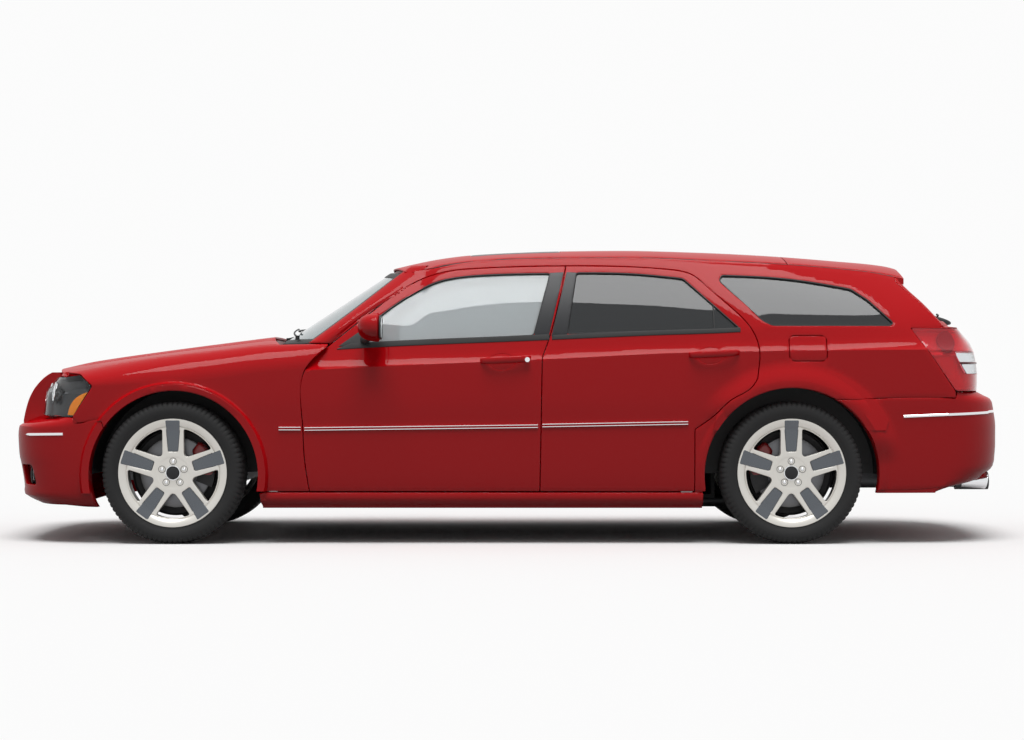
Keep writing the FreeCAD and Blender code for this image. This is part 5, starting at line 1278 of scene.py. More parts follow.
TYRE_STEPS = 336


def tyre_part():
    """Tyre: a rounded section with four grooves round it and shoulder blocks cut across by sipes."""
    side = curve([(99, 256), (104, 266), (115, 285), (123, 306), (121, 324), (113, 338), (98, 346.5)], 8.0)
    tread = [(84, 349.6, 1), (79, 350, 1), (60, 350, 1)]
    for g in (54, 18):
        tread += [(g + 5, 350, 1), (g + 3.4, 342.5, 0), (g - 3.4, 342.5, 0), (g - 5, 350, 1), (g - 18, 350, 1)]
    half = np.array([(z, r, 0) for z, r in side] + tread[:-1])
    inner = np.array([(-99, 256, 0), (-96, 250, 0), (-80, 262, 0), (-70, 330, 0), (70, 330, 0), (80, 262, 0),
                      (96, 250, 0)])
    z, r, block = np.concatenate([half, half[::-1] * (-1, 1, 1), inner]).T
    angle = np.linspace(0, 2 * np.pi, TYRE_STEPS, endpoint=False)[:, None]
    step = np.arange(TYRE_STEPS)[:, None]
    shoulder = (np.abs(z) > 62) & (np.abs(z) < 122) & (r > 320)
    sipe = np.where(shoulder & (step % 4 == 0), 1.0, 0)
    slant = (step + np.rint(np.abs(z) / 12).astype(int)) % 12
    cut = 5 * sipe * (r > 336) + np.where((block > 0) & (np.abs(z) < 50) & (slant == 0), 4.0, 0)
    rib = 1.2 * (((r > 292) & (r < 300)) | ((r > 268) & (r < 276))) - 3 * sipe * (r <= 346)
    radius = r + 0 * angle - cut
    points = np.stack([radius * np.cos(angle), radius * np.sin(angle), z + np.sign(z) * rib], -1)
    return outward(lattice(points, close_u=True, close_v=True))


def caliper_part(centre_angle):
    """Caliper: a rounded section carried along an arc over the disc."""
    angle = np.radians(np.linspace(centre_angle - 30, centre_angle + 30, 25))[:, None]
    t = np.linspace(0, 2 * np.pi, 28, endpoint=False)
    taper = (1 - np.abs(np.linspace(-1, 1, 25)) ** 6 * 0.35)[:, None]
    r = 162 + 40 * taper * curl(np.cos(t), 0.6)
    h = -6 + 44 * taper * curl(np.sin(t), 0.6)
    points = np.stack([r * np.cos(angle), r * np.sin(angle), h + 0 * angle], -1)
    return outward(lattice(points, close_v=True, ends=True))


def at_wheel(part, axle_x, side):
    """Carries a part from the wheel's own frame to one corner of the car."""
    x, y, z = part[0].T
    sign = -1 if side == "left" else 1
    return np.stack([axle_x - sign * x, sign * (WHEEL_Y + z), WHEEL_Z + y], -1), part[1]


# Trim
def strip_part(lift, points, half, height):
    """Moulding with a rounded section along a line on the body."""
    profile = [(-half, -1.5), (-half, height * 0.6), (-half * 0.7, height), (half * 0.7, height),
               (half, height * 0.6), (half, -1.5)]
    return ribbon(lift, points if isinstance(points, np.ndarray) else curve(points, 14.0), profile)


def shifted(line, rise):
    return [(x, z + rise) for x, z in line]


def handle_part(centre):
    """Pull handle: an oval bar that stands off the door and returns to it at both ends."""
    t = np.linspace(-1, 1, 34)
    x = centre[0] + t * HANDLE_LENGTH / 2
    z = centre[1] + 0.05 * (x - centre[0])
    stand = 36 * (1 - np.abs(t) ** 5) - 3
    y = -(side_y(x, z) + PROUD + stand)
    a = np.linspace(0, 2 * np.pi, 18, endpoint=False)
    wide = (17 - 4 * np.abs(t) ** 3)[:, None]
    points = np.stack([x[:, None] + 0 * a, y[:, None] + 7 * np.cos(a), z[:, None] + wide * np.sin(a)], -1)
    return outward(lattice(points, close_v=True, ends=True))


def mirror_part():
    """Mirror head: a superellipsoid that is fuller towards the nose and flat behind its glass."""
    verts, faces = round_block(2.7, 30)
    x, y, z = verts.T
    x = np.where(x > 0, 0.2 * x, x)
    low = 1 - 0.14 * (z < 0) * z * z
    shape = np.stack([-640 + 94 * x * (1 - 0.12 * y * y), -972 + 108 * y * low,
                      1066 + (70 + 5 * y) * z * (1 + 0.08 * x)], -1)
    return shape, faces


def mirror_plane(x):
    """Upright plane at the back of the mirror head."""
    def lift(u, v):
        return np.stack([x + 0 * u, -974 + u, 1066 + v], -1)
    return lift


MIRROR_GLASS = ellipse((0, 0), 86, 50, 3.0, 48)


def mirror_glass_part():
    return patch(mirror_plane(-619), [MIRROR_GLASS], spacing=20, roll=1, wall=3, gap=0)


def mirror_bezel_part():
    """Black border round the mirror glass."""
    return patch(mirror_plane(-617.5), [ellipse((0, 0), 98, 60, 2.8, 48), MIRROR_GLASS], spacing=14, roll=2,
                 wall=6, gap=0)


def sail_part():
    """Mirror foot: the black corner of the window and the arm that carries the head."""
    corner = ring(loop((-842, 972), (-700, 979), (-690, 1080)), 10)
    plate = patch(proud(bare_side, 3.5), [corner], spacing=14, roll=2, wall=8, gap=0)
    t = np.linspace(0, 1, 14)
    path = np.stack([-712 + 40 * t, -835 - 70 * t, 1006 + 14 * t], -1)
    return joined(plate, tube(path, 17 + 5 * np.cos(np.pi * t), 16))


def wiper_part(pivot, tip, sway):
    """Wiper: an arm from its spindle and a blade that lies along the glass."""
    a, b = np.array(pivot, float), np.array(tip, float)
    t = np.linspace(0, 1, 16)[:, None]

    def on_glass(line, height):
        return proud(screen_skin, height)(line[:, 0], line[:, 1])
    arm = on_glass(a + (b - a) * t, 16.0)
    along = np.array(sway, float)
    blade = on_glass(b - along + 2 * along * np.linspace(0, 1, 24)[:, None], 6.0)
    return joined(tube(arm, 5.5 - 2.0 * t[:, 0], 10), tube(blade, 5.0, 8),
                  tube(np.array([arm[0] - (0, 0, 14), arm[0] + (0, 0, 6)]), 11, 14))


# Cabin
PAD_STEPS = 26


def pad_part(x0, x1, y0, y1, z0, z1, lean=0.0, channels=(), crown=14.0, power=5.0):
    """Cushion: a crowned superellipsoid whose sewn channels are grooves exp(-(d/w)^2) deep."""
    verts, faces = round_block(power, PAD_STEPS)
    size = np.array([x1 - x0, y1 - y0, z1 - z0]) / 2
    thin = int(np.argmin(size))
    p = verts * size
    face = np.sign(verts[:, thin]) * np.clip(np.abs(verts[:, thin]) * 1.4 - 0.4, 0, 1)
    share = np.prod([1 - verts[:, k] ** 2 for k in range(3) if k != thin], axis=0)
    p[:, thin] += face * crown * (share - 0.5)
    for channel in channels:
        p[:, thin] -= face * 7 * bell(p[:, 1], channel, 9)
    low, a = p + size, math.radians(lean)
    x = low[:, 0] * math.cos(a) + low[:, 2] * math.sin(a)
    z = -low[:, 0] * math.sin(a) + low[:, 2] * math.cos(a)
    return np.stack([x0 + x, y0 + low[:, 1], z0 + z], -1), faces


def dash_part():
    """Dashboard: a section swept across the cabin, with a hood over the gauges."""
    section = curve([(-1126, 930), (-1000, 954), (-850, 940), (-775, 900), (-764, 850), (-800, 800),
                     (-812, 740), (-860, 660), (-905, 612)], 16)
    y = np.linspace(-696, 696, 70)
    front = bell(section[:, 0], -800, 75) * (section[:, 1] > 830)
    x = section[:, 0][None, :] + 26 * bell(y, 0, 190, 4)[:, None] * bell(section[:, 1], 760, 90)
    z = section[:, 1][None, :] + 34 * bell(y, -370, 150, 4)[:, None] * front
    return lattice(np.stack([x, y[:, None] + 0 * x, z], -1))


def card_part(first, last, top_front, top_rear):
    """Door card: flat trim with an armrest and a bin that swell out of it."""
    def lift(u, z):
        x = -u
        arm = 52 * bell(z, 690, 34, 4) * ease(x, first + 60, first + 220)
        arm = arm * (1 - ease(x, last - 160, last - 40))
        tray = 26 * bell(z, 400, 90, 4) * ease(x, first + 60, first + 160)
        tray = tray * (1 - ease(x, last - 200, last - 80))
        return np.stack([x, -(766 - arm - tray), z], -1)

    foot = min(last, 880)
    outline = ring(loop((first, 300), (first, top_front), (last, top_rear), (last, 720), (foot, 560),
                        (foot, 300)), 30)
    return patch(lift, [outline * (-1, 1)], spacing=26, roll=3, wall=4, gap=4)


def fuel_lid_part():
    return patch(side_skin, [inset(ring(FUEL_LID, 37), 2.0)], spacing=14, gap=1.5, roll=2.5, wall=4)


def seal_part(runs):
    """Rubber round a window: a rounded section on its outline, from the glass to the edge of the skin."""
    profile = [(-3.4, -9), (-3.4, -2), (-2.2, 0.3), (0, 0.8), (2.2, 0.3), (3.2, -2), (3.2, -9)]
    return ribbon(bare_side, inset(ring(runs, 14), -0.5), profile, closed=True)


def belt_part(row):
    """Sweep strip along the foot of the door glass, pointed at its front end."""
    first, last, height = (-846, 206, 20) if row == "front" else (218, 1150, 15)
    x = np.linspace(first, last, 60)
    low = np.stack([x, smooth(BELT_Z, x) - 8], -1)
    top = np.stack([x, smooth(BELT_Z, x) + height], -1)
    if row == "front":
        top[:, 1] = np.minimum(top[:, 1], low[:, 1] + 4 + (x - first) * 0.35)
    edge = ring([low, [low[-1], top[-1]], top[::-1], [top[0], low[0]]], 2, 12)
    return patch(proud(bare_side, 4.5), [edge], spacing=12, grain=(2, 1), gap=0, roll=2, wall=5)


def pillar_plate_part(row):
    """Gloss black plate between the glass and the shut line of the doors."""
    corners = {"front": [(210, 1343), (128, 1020), (203, 1023), (281, 1347)],
               "rear": [(344, 1345), (293, 1026), (214, 1023), (293, 1347)]}[row]
    return patch(proud(bare_side, 3.0), [ring(loop(*corners), 4)], spacing=14, gap=0.5, roll=1.5, wall=5)


def screen_seal_part():
    """Black border all round the windscreen."""
    profile = [(-11, -6), (-11, -4), (-8, -2), (8, -2), (11, -4), (11, -6)]
    return ribbon(screen_skin, inset(screen_ring(), 13), profile, closed=True)


def ditch_part(first, last):
    """Black strip in the roof ditch, between the roof and the body side."""
    path = plan_edge(RAIL_Y, np.linspace(first, last, 120), 11.5)
    return ribbon(roof_skin, path, [(-10, -8), (-10, -3), (-6, -1.5), (6, -1.5), (10, -3), (10, -8)])


def intake_ring():
    return end_ring(LAMP, -1, [(532, 262), (-532, 262), (-478, 404), (478, 404)], 22)


def lock_part():
    """Key cylinder at the rear end of the front handle."""
    x, z = FRONT_HANDLE[0] + 126, FRONT_HANDLE[1] + 11
    face = float(side_y(np.array(x), np.array(z))) + PROUD
    verts, faces = lathe([(0, 0), (13.5, 0), (13.5, 30), (12, 33), (6, 34.5), (0, 35)], 32, closed=False)
    return np.stack([x + verts[:, 0], -(face - 4 + verts[:, 2]), z + verts[:, 1]], -1), faces


def bumper_strips_part():
    """Chrome lines let into the front and rear bumpers."""
    front = seen_side(LAMP, -1, [(-2196, 541), (-2300, 539), (-2400, 536)], 10)
    ahead = seen_end(LAMP, -1, [(-760, 535), (-600, 534)], 10)
    last = front[-1][0]
    beyond = ahead[:, 0] < last - 12 if ahead[0][0] < last else ahead[:, 0] > last + 12
    rear = seen_side(BUMPER, 1, [(1951, 628), (2200, 638), (2400, 645)], 10)
    behind = seen_end(BUMPER, 1, [(-760, 648), (-560, 649)], 10)
    nose = np.concatenate([front, ahead[beyond]])
    tail = np.concatenate([rear, behind[behind[:, 0] > rear[-1][0] + 12]])
    profile = [(-6, -1.5), (-6, 2.0), (-3.5, 4.2), (3.5, 4.2), (6, 2.0), (6, -1.5)]
    return joined(ribbon(LAMP, nose, profile), ribbon(BUMPER, tail, profile))


def rear_wiper_part():
    """Rear wiper: a wedge over its pivot at the foot of the back glass, an arm and a blade."""
    def on_glass(first, last, height):
        line = np.linspace(first, last, 16)
        return proud(BACK, height)(from_end(BACK, 1, line[:, 0], line[:, 1]), line[:, 1])
    arm = on_glass((-40.0, 1112.0), (-320.0, 1130.0), 12)
    blade = on_glass((-120.0, 1120.0), (-480.0, 1136.0), 4)
    verts, faces = round_block(3.0, 18)
    x, y, z = verts.T
    wedge = np.stack([2275 + 62 * x, -30 + (58 - 14 * x) * y, 1114 + (22 - 9 * x) * z - 10 * x], -1), faces
    return joined(tube(arm, np.linspace(7, 4, 16), 10), tube(blade, 5, 8), wedge)


def plate_part():
    """Blank plate on its panel in the recess of the tailgate."""
    outline = end_ring(GATE, 1, [(-236, 790), (236, 790), (236, 906), (-236, 906)], 14)
    return patch(proud(GATE, 2.0), [outline], spacing=16, gap=0, roll=1.5, wall=3)


def gate_pull_part():
    """Chrome bar over the plate."""
    return ribbon(GATE, level_line(-300, 300, 50, 946),
                  [(-11, -2), (-11, 6), (-7, 12), (6, 13), (11, 8), (11, -2)])


def brake_lamp_part():
    """High brake lamp under the rear edge of the roof."""
    outline = end_ring(BACK, 1, [(-150, 1322), (150, 1322), (146, 1340), (-146, 1340)], 5)
    return patch(proud(BACK, 1.5), [outline], spacing=10, gap=0, roll=1.5, wall=4)


def tip_part():
    """Exhaust tip: an oval pipe, open at its end, cut on a slant."""
    angle = np.linspace(0, 2 * np.pi, 56, endpoint=False)[:, None]
    rows = np.array([(2290, 41), (2400, 44), (2424, 45), (2427, 43.5), (2424, 41), (2300, 38)])
    x, r = rows.T
    y = -560 + 1.22 * r * np.cos(angle)
    z = 297 + 0.94 * r * np.sin(angle)
    slant = np.clip((x - 2300) / 127, 0, 1) * 14 * (np.sin(angle) - 1) * 0.5
    points = np.stack([x + slant, y, z], -1)
    return outward(lattice(points, close_u=True))


# Cabin parts
def seat_parts(y):
    """The pads of one front seat by name, centred on y."""
    sides = (y - 214, y + 214)
    wings = [pad_part(-404, 60, c - 40, c + 40, 478, 552, 0, crown=6, power=3) for c in sides]
    shoulders = [pad_part(8, 96, c - 38, c + 38, 560, 930, 18, crown=6, power=3) for c in sides]
    return {
        "cushion": pad_part(-418, 96, y - 252, y + 252, 384, 522, 0, (-130, 130), crown=22, power=6),
        "backrest": pad_part(22, 112, y - 252, y + 252, 508, 992, 18, (-135, 135), crown=24, power=6),
        "bolsters": joined(*wings, *shoulders),
        "headrest": pad_part(152, 226, y - 124, y + 124, 1032, 1180, 8, crown=16, power=4),
    }


def rear_seat_parts():
    heads = [pad_part(996, 1056, y - 118, y + 118, 1012, 1138, 9, crown=14, power=4) for y in (-380, 380)]
    return {
        "cushion": pad_part(424, 892, -634, 634, 384, 526, 0, (-212, 212), crown=20, power=8),
        "backrest": pad_part(824, 886, -628, 628, 502, 1000, 20, (-212, 212), crown=18, power=8),
        "headrests": joined(*heads),
    }


def bar(first, last, radius, count):
    return tube(np.array([first, last]), radius, count)


def seat_frame_part():
    """Rails and brackets that carry a front seat, and the posts of its headrest."""
    outer, inner, posts = (-550.0, -190.0), (-340, 60), (-430.0, -310.0)
    rails = [bar((-380, y, 262), (100, y, 262), 14, 8) for y in outer]
    legs = [bar((x, y, 236), (x, y, 396), 11, 8) for x in inner for y in outer]
    stays = [bar((196, y, 960), (206, y, 1050), 6, 10) for y in posts]
    return joined(*rails, *legs, *stays)


def dial_part():
    """Gauge faces and the screen in the middle of the dashboard."""
    def screen_plane(y, z):
        return np.stack([-762 + 0 * y + (z - 830) * -0.12, y, z], -1)

    dials = []
    for y, radius in ((-430, 44), (-320, 44), (-372, 26)):
        r = np.linspace(0, radius, 8)
        dial = turned_about_x(-786 + 3 * (r / radius) ** 2, r, (y, 892), 40, 0.92)
        dials.append(outward_sheet(dial, np.array([-900.0, y, 892])))
    screen = patch(screen_plane, [ellipse((0, 836), 92, 52, 8)], spacing=20, gap=0, roll=2, wall=6)
    return joined(screen, *dials)


def console_part():
    """Centre console with an arm rest and a lever."""
    base = pad_part(-800, 120, -115, 115, 236, 470, 0, crown=10, power=9)
    rest = pad_part(-140, 130, -95, 95, 456, 540, 0, crown=10, power=5)
    stalk = np.array([(-420, 0, 460), (-408, 0, 520), (-396, 0, 568)])
    knob = rounded_block((-392, 0, 584), (44, 44, 60), 3, 14)
    return joined(base, rest, tube(stalk, 9, 12), knob)


def steering_part():
    """Steering wheel: a rim carried round a circle, four spokes and a padded hub."""
    hub = np.array([-660.0, -370.0, 851.0])
    tilt = math.radians(26)
    u, v = np.array([0, 1.0, 0]), np.array([math.sin(tilt), 0, math.cos(tilt)])
    axis = np.cross(u, v)
    t = np.linspace(0, 2 * np.pi, 73)
    rim = hub + 172 * (np.cos(t)[:, None] * u + np.sin(t)[:, None] * v)
    parts = [tube(rim, 15, 14)]
    for a in (0, 180, 235, 305):
        arm = math.cos(math.radians(a)) * u + math.sin(math.radians(a)) * v
        parts.append(tube(hub + np.linspace(40, 166, 9)[:, None] * arm, np.linspace(17, 11, 9), 10))
    pad = rounded_block((0, 0, 0), (132, 118, 46), 3.2, 20)
    turned_pad = hub + pad[0][:, :1] * u + pad[0][:, 1:2] * v + pad[0][:, 2:] * axis
    column = tube(hub + np.linspace(0, 1, 6)[:, None] * np.array((-110.0, 0, -52)), 30, 16)
    return joined(*parts, outward((turned_pad, pad[1])), column)


def carpet_part():
    """Carpet over the floor, raised along the tunnel: its height is a bell curve across the cabin."""
    x = np.linspace(-1080, 860, 40)[:, None]
    y = np.linspace(-716, 716, 60)[None, :]
    rise = 6 + 120 * bell(y, 0, 118, 4) * ease(x, -1100, -900)
    kick = 150 * (1 - ease(x, -1080, -940)) * (1 + 0 * y)
    floor = np.stack([x + 0 * y, y + 0 * x, 238 + np.maximum(rise, kick)], -1)
    x, y = np.meshgrid(np.linspace(1090, 2180, 12), np.linspace(-600, 600, 14), indexing="ij")
    return joined(lattice(floor), lattice(np.stack([x, y, np.full(x.shape, 548.0)], -1)))


def lining_part():
    """Headlining: the roof's own surface, lowered by the depth of the roof and turned over."""
    x = np.linspace(-470, 1930, 50)[:, None]
    share = np.linspace(-1, 1, 36)[None, :]
    y = share * (smooth(RAIL_Y, x) - 70)
    skin = roof_skin(x + 0 * y, y)
    skin[..., 2] -= 62
    verts, faces = lattice(skin)
    return verts, [f[::-1] for f in faces]


# Studio: a wide sun over the camera's side and an even sky
SUN_POWER = 2.09
SUN_TILT = 16.0
SUN_WIDTH = 36.0
AMBIENT = 0.36
WHITE = 0.97
BOUNCE = 0.1
CAMERA_PLACE = (0.0205, -12.92, 0.857)
CAMERA_LENS = 85.8


def seen(tree):
    """Share of a ray that should see the white background: camera, mirror and glass rays."""
    rays = add(tree, "ShaderNodeLightPath").outputs
    eye_or_mirror = {0: rays["Is Camera Ray"], 1: rays["Is Glossy Ray"]}
    first = add(tree, "ShaderNodeMath", eye_or_mirror, operation="MAXIMUM")
    both_rays = {0: first.outputs[0], 1: rays["Is Transmission Ray"]}
    return add(tree, "ShaderNodeMath", both_rays, operation="MAXIMUM").outputs[0]


def studio_world():
    """White background for the eye and for reflections, soft dim light for the surfaces."""
    world = bpy.data.worlds.new("studio")
    world.use_nodes = True
    tree = world.node_tree
    strength = add(tree, "ShaderNodeMapRange", {"Value": seen(tree), "To Min": AMBIENT, "To Max": WHITE})
    back = tree.nodes["Background"]
    back.inputs["Color"].default_value = linear("#FFFFFF")
    tree.links.new(strength.outputs["Result"], back.inputs["Strength"])
    return world


def studio_floor():
    """Matt floor: white for the eye and in reflections, dim as a source of light on the low sides."""
    made = finish("floor_matt_white", "#FFFFFF", Roughness=1.0, Specular_IOR_Level=0.0)
    tree = made.node_tree
    shade = add(tree, "ShaderNodeMapRange", {"Value": seen(tree), "To Min": BOUNCE, "To Max": WHITE})
    tree.links.new(shade.outputs["Result"], tree.nodes["Principled BSDF"].inputs["Base Color"])
    return made


# Finishes
MADE = {}


def get(key):
    """The material of that key, from the current settings; all of them are made at the first call."""
    if not MADE:
        MADE.update(materials(bpy.context.scene.wagon))
    return MADE[key]


def put(name, part, key, body="root", replaces=(), slot=None, wall=0.0, crease=32.0):
    """Makes a piece with the finish of that key; the slot argument is not used."""
    made = piece(name, part, get(key), body, replaces, crease)
    return thicken(made, wall) if wall else made


def put_sides(name, part, key, body, replaces=(), **more):
    """The part on the left and its mirror image on the right; each name given gets its side's name."""
    for side, turned_part in (("left", part), ("right", mirrored(part))):
        stands_for = [f"{node}_{side}" for node in replaces]
        put(f"{name}_{side}", turned_part, key, f"{body}_{side}", stands_for, **more)


class WagonSettings(bpy.types.PropertyGroup):
    paint: bpy.props.StringProperty(
        name="Paint", description="Body colour as an sRGB hex value", default="#C80E17")
    privacy: bpy.props.StringProperty(
        name="Privacy glass", description="Tint of the glass behind the front doors", default="#3E4245")
    leather: bpy.props.StringProperty(
        name="Leather", description="Colour of the seats", default="#34322F")
    strip_height: bpy.props.FloatProperty(
        name="Side moulding", description="Height of the mouldings on the doors",
        default=0.019, min=0.01, max=0.04, unit="LENGTH", subtype="DISTANCE")
    tint_depth: bpy.props.FloatProperty(
        name="Glass depth", description="How far the side glass lies under the skin",
        default=0.008, min=0.002, max=0.02, unit="LENGTH", subtype="DISTANCE")
    floor_size: bpy.props.FloatProperty(
        name="Floor", description="Side of the studio floor",
        default=80.0, min=20.0, max=200.0, unit="LENGTH", subtype="DISTANCE")


class WAGON_OT_panels(bpy.types.Operator):
    """Adds the painted skins of the body, doors, hood and tailgate"""
    bl_idname = "wagon.panels"
    bl_label = "Painted panels"

    def execute(self, context):
        put("sunroof_skin", sunroof_part(), "gloss", slot="paint", wall=SHEET)
        for name, part, body in (
                ("fender_skins", both(fender_part()), "root"),
                ("quarter_skins", both(quarter_part()), "root"),
                ("sill_skins", both(sill_part()), "root"), ("roof_skin", roof_part(), "root"),
                ("front_bumper_skin", front_bumper_part(), "root"), ("nose_skin", nose_part(), "root"),
                ("rear_bumper_skin", rear_bumper_part(), "root"),
                ("screen_pillars", both(pillar_front_part()), "root"),
                ("rear_pillars", both(pillar_back_part()), "root"),
                ("lamp_shelves", both(lamp_shelf_part()), "root"), ("hood_skin", hood_part(), "hood"),
                ("gate_skin", gate_part(), "tailgate"), ("gate_frame", gate_upper_part(), "tailgate"),
                ("gate_roof", gate_roof_part(), "tailgate"), ("fuel_lid_skin", fuel_lid_part(), "fuel_door"),
                ("fuel_blank_skin", mirrored(fuel_lid_part()), "root")):
            put(name, part, "paint", body, wall=SHEET)
        for row, part in (("front", door_part(FRONT_DOOR, FRONT_GLASS, -1010, 290, FRONT_HANDLE)),
                          ("rear", door_part(REAR_DOOR, REAR_GLASS, 160, 1240, REAR_HANDLE))):
            put_sides(f"{row}_door_skin", part, "paint", f"{row}_door", wall=SHEET)
        return {"FINISHED"}


class WAGON_OT_glass(bpy.types.Operator):
    """Adds the windows, their seals and the black pillars between them"""
    bl_idname = "wagon.glass"
    bl_label = "Glass and seals"

    def execute(self, context):
        depth = context.scene.wagon.tint_depth * 1000
        division = strip_part(bare_side, [(1020, 1060), (1020, 1178)], 2.5, 0.3)
        for row, runs, key, bars in (("front", FRONT_GLASS, "glass", []),
                                     ("rear", REAR_GLASS, "privacy", [division])):
            door = f"{row}_door"
            pane = pane_part(inset(ring(runs, 14), -2), depth)
            put_sides(f"{door}_pane", pane, key, door, [f"{door}_glass"])
            put_sides(f"{door}_seals", joined(seal_part(runs), belt_part(row), *bars), "seal", door)
            put_sides(f"{row}_pillar_plate", pillar_plate_part(row), "gloss", door)
        put("quarter_panes", both(pane_part(inset(ring(QUARTER_GLASS, 12), -2), depth)), "privacy", "root",
            ["quarter_glass"])
        put("quarter_seals", both(seal_part(QUARTER_GLASS)), "seal")
        put("windscreen_pane", windscreen_part(), "screen", "root", ["windscreen"])
        put("windscreen_seal", screen_seal_part(), "seal")
        put("tailgate_pane", back_glass_part(), "privacy", "tailgate", ["tailgate_glass"])
        put("roof_strips", both(ditch_part(-470, 1408)), "seal")
        put("gate_roof_strips", both(ditch_part(1416, 1946)), "seal")
        return {"FINISHED"}


class WAGON_OT_lamps(bpy.types.Operator):
    """Adds head, fog and tail lamps with their trays, bowls and lenses, and the mesh of the intakes"""
    bl_idname = "wagon.lamps"
    bl_label = "Lamps and grille"

    def execute(self, context):
        head, tail, clear = headlamp_ring(), tail_ring(), reverse_ring()
        amber = ring(side_runs(LAMP, -1, AMBER, 7), 6, 7)
        bowls, domes = lit_bowls(36, [(-624, 734, 54), (-736, 742, 52)])
        lens = patch(lowered(lens_skin, 2.5), [head], spacing=16, gap=1.0, roll=2, wall=44)
        marker = patch(lowered(lens_skin, 9), [amber], spacing=10, gap=0.5, roll=3, wall=8)
        tail_lens = patch(lowered(GATE, 1.0), [tail, clear], spacing=15, gap=1.0, roll=2, wall=3)
        clear_lens = patch(lowered(GATE, 0.5), [clear], spacing=12, gap=1.2, roll=2, wall=3)
        clear_bowl = patch(lowered(GATE, 22), [inset(clear, 3)], spacing=12, gap=0, roll=2, wall=3)
        put("headlamp_trays", both(basin(lens_skin, inset(head, 2), 62)), "tray", "root", ["headlamps"])
        put("tail_lamp_trays", both(basin(GATE, inset(tail, 3), 40)), "red_tray", "root", ["tail_lamps"])
        for name, part, key in (
                ("headlamp_lenses", lens, "lens"), ("headlamp_bowls", bowls, "chrome"),
                ("headlamp_projectors", domes, "lens"), ("side_markers", marker, "amber"),
                ("tail_lamp_lenses", tail_lens, "red_lens"), ("reversing_lamps", clear_lens, "lens"),
                ("reversing_bowls", clear_bowl, "chrome"),
                ("reversing_bars", strip_part(GATE, reverse_bar(), 4.5, 3.0), "red_dome"),
                ("tail_lamp_domes", tail_dome_part(), "red_dome"), ("fog_lamps", fog_part(), "lens"),
                ("fog_rings", fog_ring_part(), "plastic")):
            put(name, both(part), key)
        put("intake_mesh", mesh_part(lowered(LAMP, 34), intake_ring()), "plastic")
        put("nose_mesh", mesh_part(lowered(NOSE, 130), grille_ring(), 22), "plastic")
        return {"FINISHED"}


class WAGON_OT_wheels(bpy.types.Operator):
    """Adds the alloy wheels, tyres and brakes"""
    bl_idname = "wagon.wheels"
    bl_label = "Wheels and brakes"

    def execute(self, context):
        parts, tyre, shield = wheel_parts(), tyre_part(), shield_part()
        keys = {"face": "alloy", "lip": "alloy", "inserts": "insert", "nuts": "chrome", "cap": "gloss",
                "disc": "steel"}
        for row, axle in (("front", FRONT_AXLE), ("rear", REAR_AXLE)):
            for side in SIDES:
                corner, wheel = f"{row}_{side}", f"{row}_wheel_{side}"
                for name, part in parts.items():
                    put(f"wheel_{name}_{corner}", at_wheel(part, axle, side), keys[name], wheel,
                        [f"wheel_{corner}"] if name == "face" else [], crease=38)
                put(f"tread_{corner}", at_wheel(tyre, axle, side), "rubber", wheel, [f"tyre_{corner}"],
                    crease=40)
                holder = f"knuckle_{side}" if row == "front" else "root"
                caliper = caliper_part(22 if (row == "front") == (side == "left") else 158)
                put(f"dust_shield_{corner}", at_wheel(shield, axle, side), "iron", holder)
                put(f"caliper_{corner}", at_wheel(caliper, axle, side), "caliper", holder, crease=50)
        return {"FINISHED"}


class WAGON_OT_trim(bpy.types.Operator):
    """Adds mirrors, handles, mouldings, chrome strips, wipers and the plate panel"""
    bl_idname = "wagon.trim"
    bl_label = "Trim"

    def execute(self, context):
        put_sides("mirror_head", mirror_part(), "paint", "front_door", ["mirror"], crease=60)
        for name, part, key in (("mirror_glass", mirror_glass_part(), "chrome"),
                                ("mirror_bezel", mirror_bezel_part(), "plastic"),
                                ("mirror_foot", sail_part(), "plastic"),
                                ("door_lock", lock_part(), "chrome")):
            put_sides(name, part, key, "front_door")
        for row, place in (("front", FRONT_HANDLE), ("rear", REAR_HANDLE)):
            handle = handle_part((place[0] + 18, place[1] + 10))
            put_sides(f"{row}_handle", handle, "paint", f"{row}_door", crease=60)
        half = context.scene.wagon.strip_height * 500
        for name, line in (("fender", [(-1128, 569), (-1020, 569)]), ("front", [(-1002, 567), (148, 581)]),
                           ("rear", [(170, 584), (887, 597)])):
            base = strip_part(side_skin, line, half, 5.0)
            pair = [strip_part(side_skin, shifted(line, s), 2.3, 7.0) for s in (-half + 3.2, half - 3.2)]
            lines = joined(*pair)
            for side, turn in (("left", joined), ("right", mirrored)):
                body = "root" if name == "fender" else f"{name}_door_{side}"
                put(f"{name}_moulding_{side}", turn(base), "paint", body)
                put(f"{name}_moulding_lines_{side}", turn(lines), "chrome", body)
        wipers = joined(wiper_part((560, 1012), (80, 1058), (250, -8)),
                        wiper_part((-120, 1008), (-520, 1052), (240, 16)))
        put("bumper_strips", both(bumper_strips_part()), "chrome")
        put("wipers", wipers, "plastic")
        put("rear_wiper", rear_wiper_part(), "plastic", "tailgate")
        put("plate_panel", plate_part(), "plate", "tailgate")
        put("gate_pull", gate_pull_part(), "chrome", "tailgate")
        put("brake_lamp", brake_lamp_part(), "red_lens", "tailgate")
        put("exhaust_tips", both(tip_part()), "chrome", slot="steel_bright")
        return {"FINISHED"}


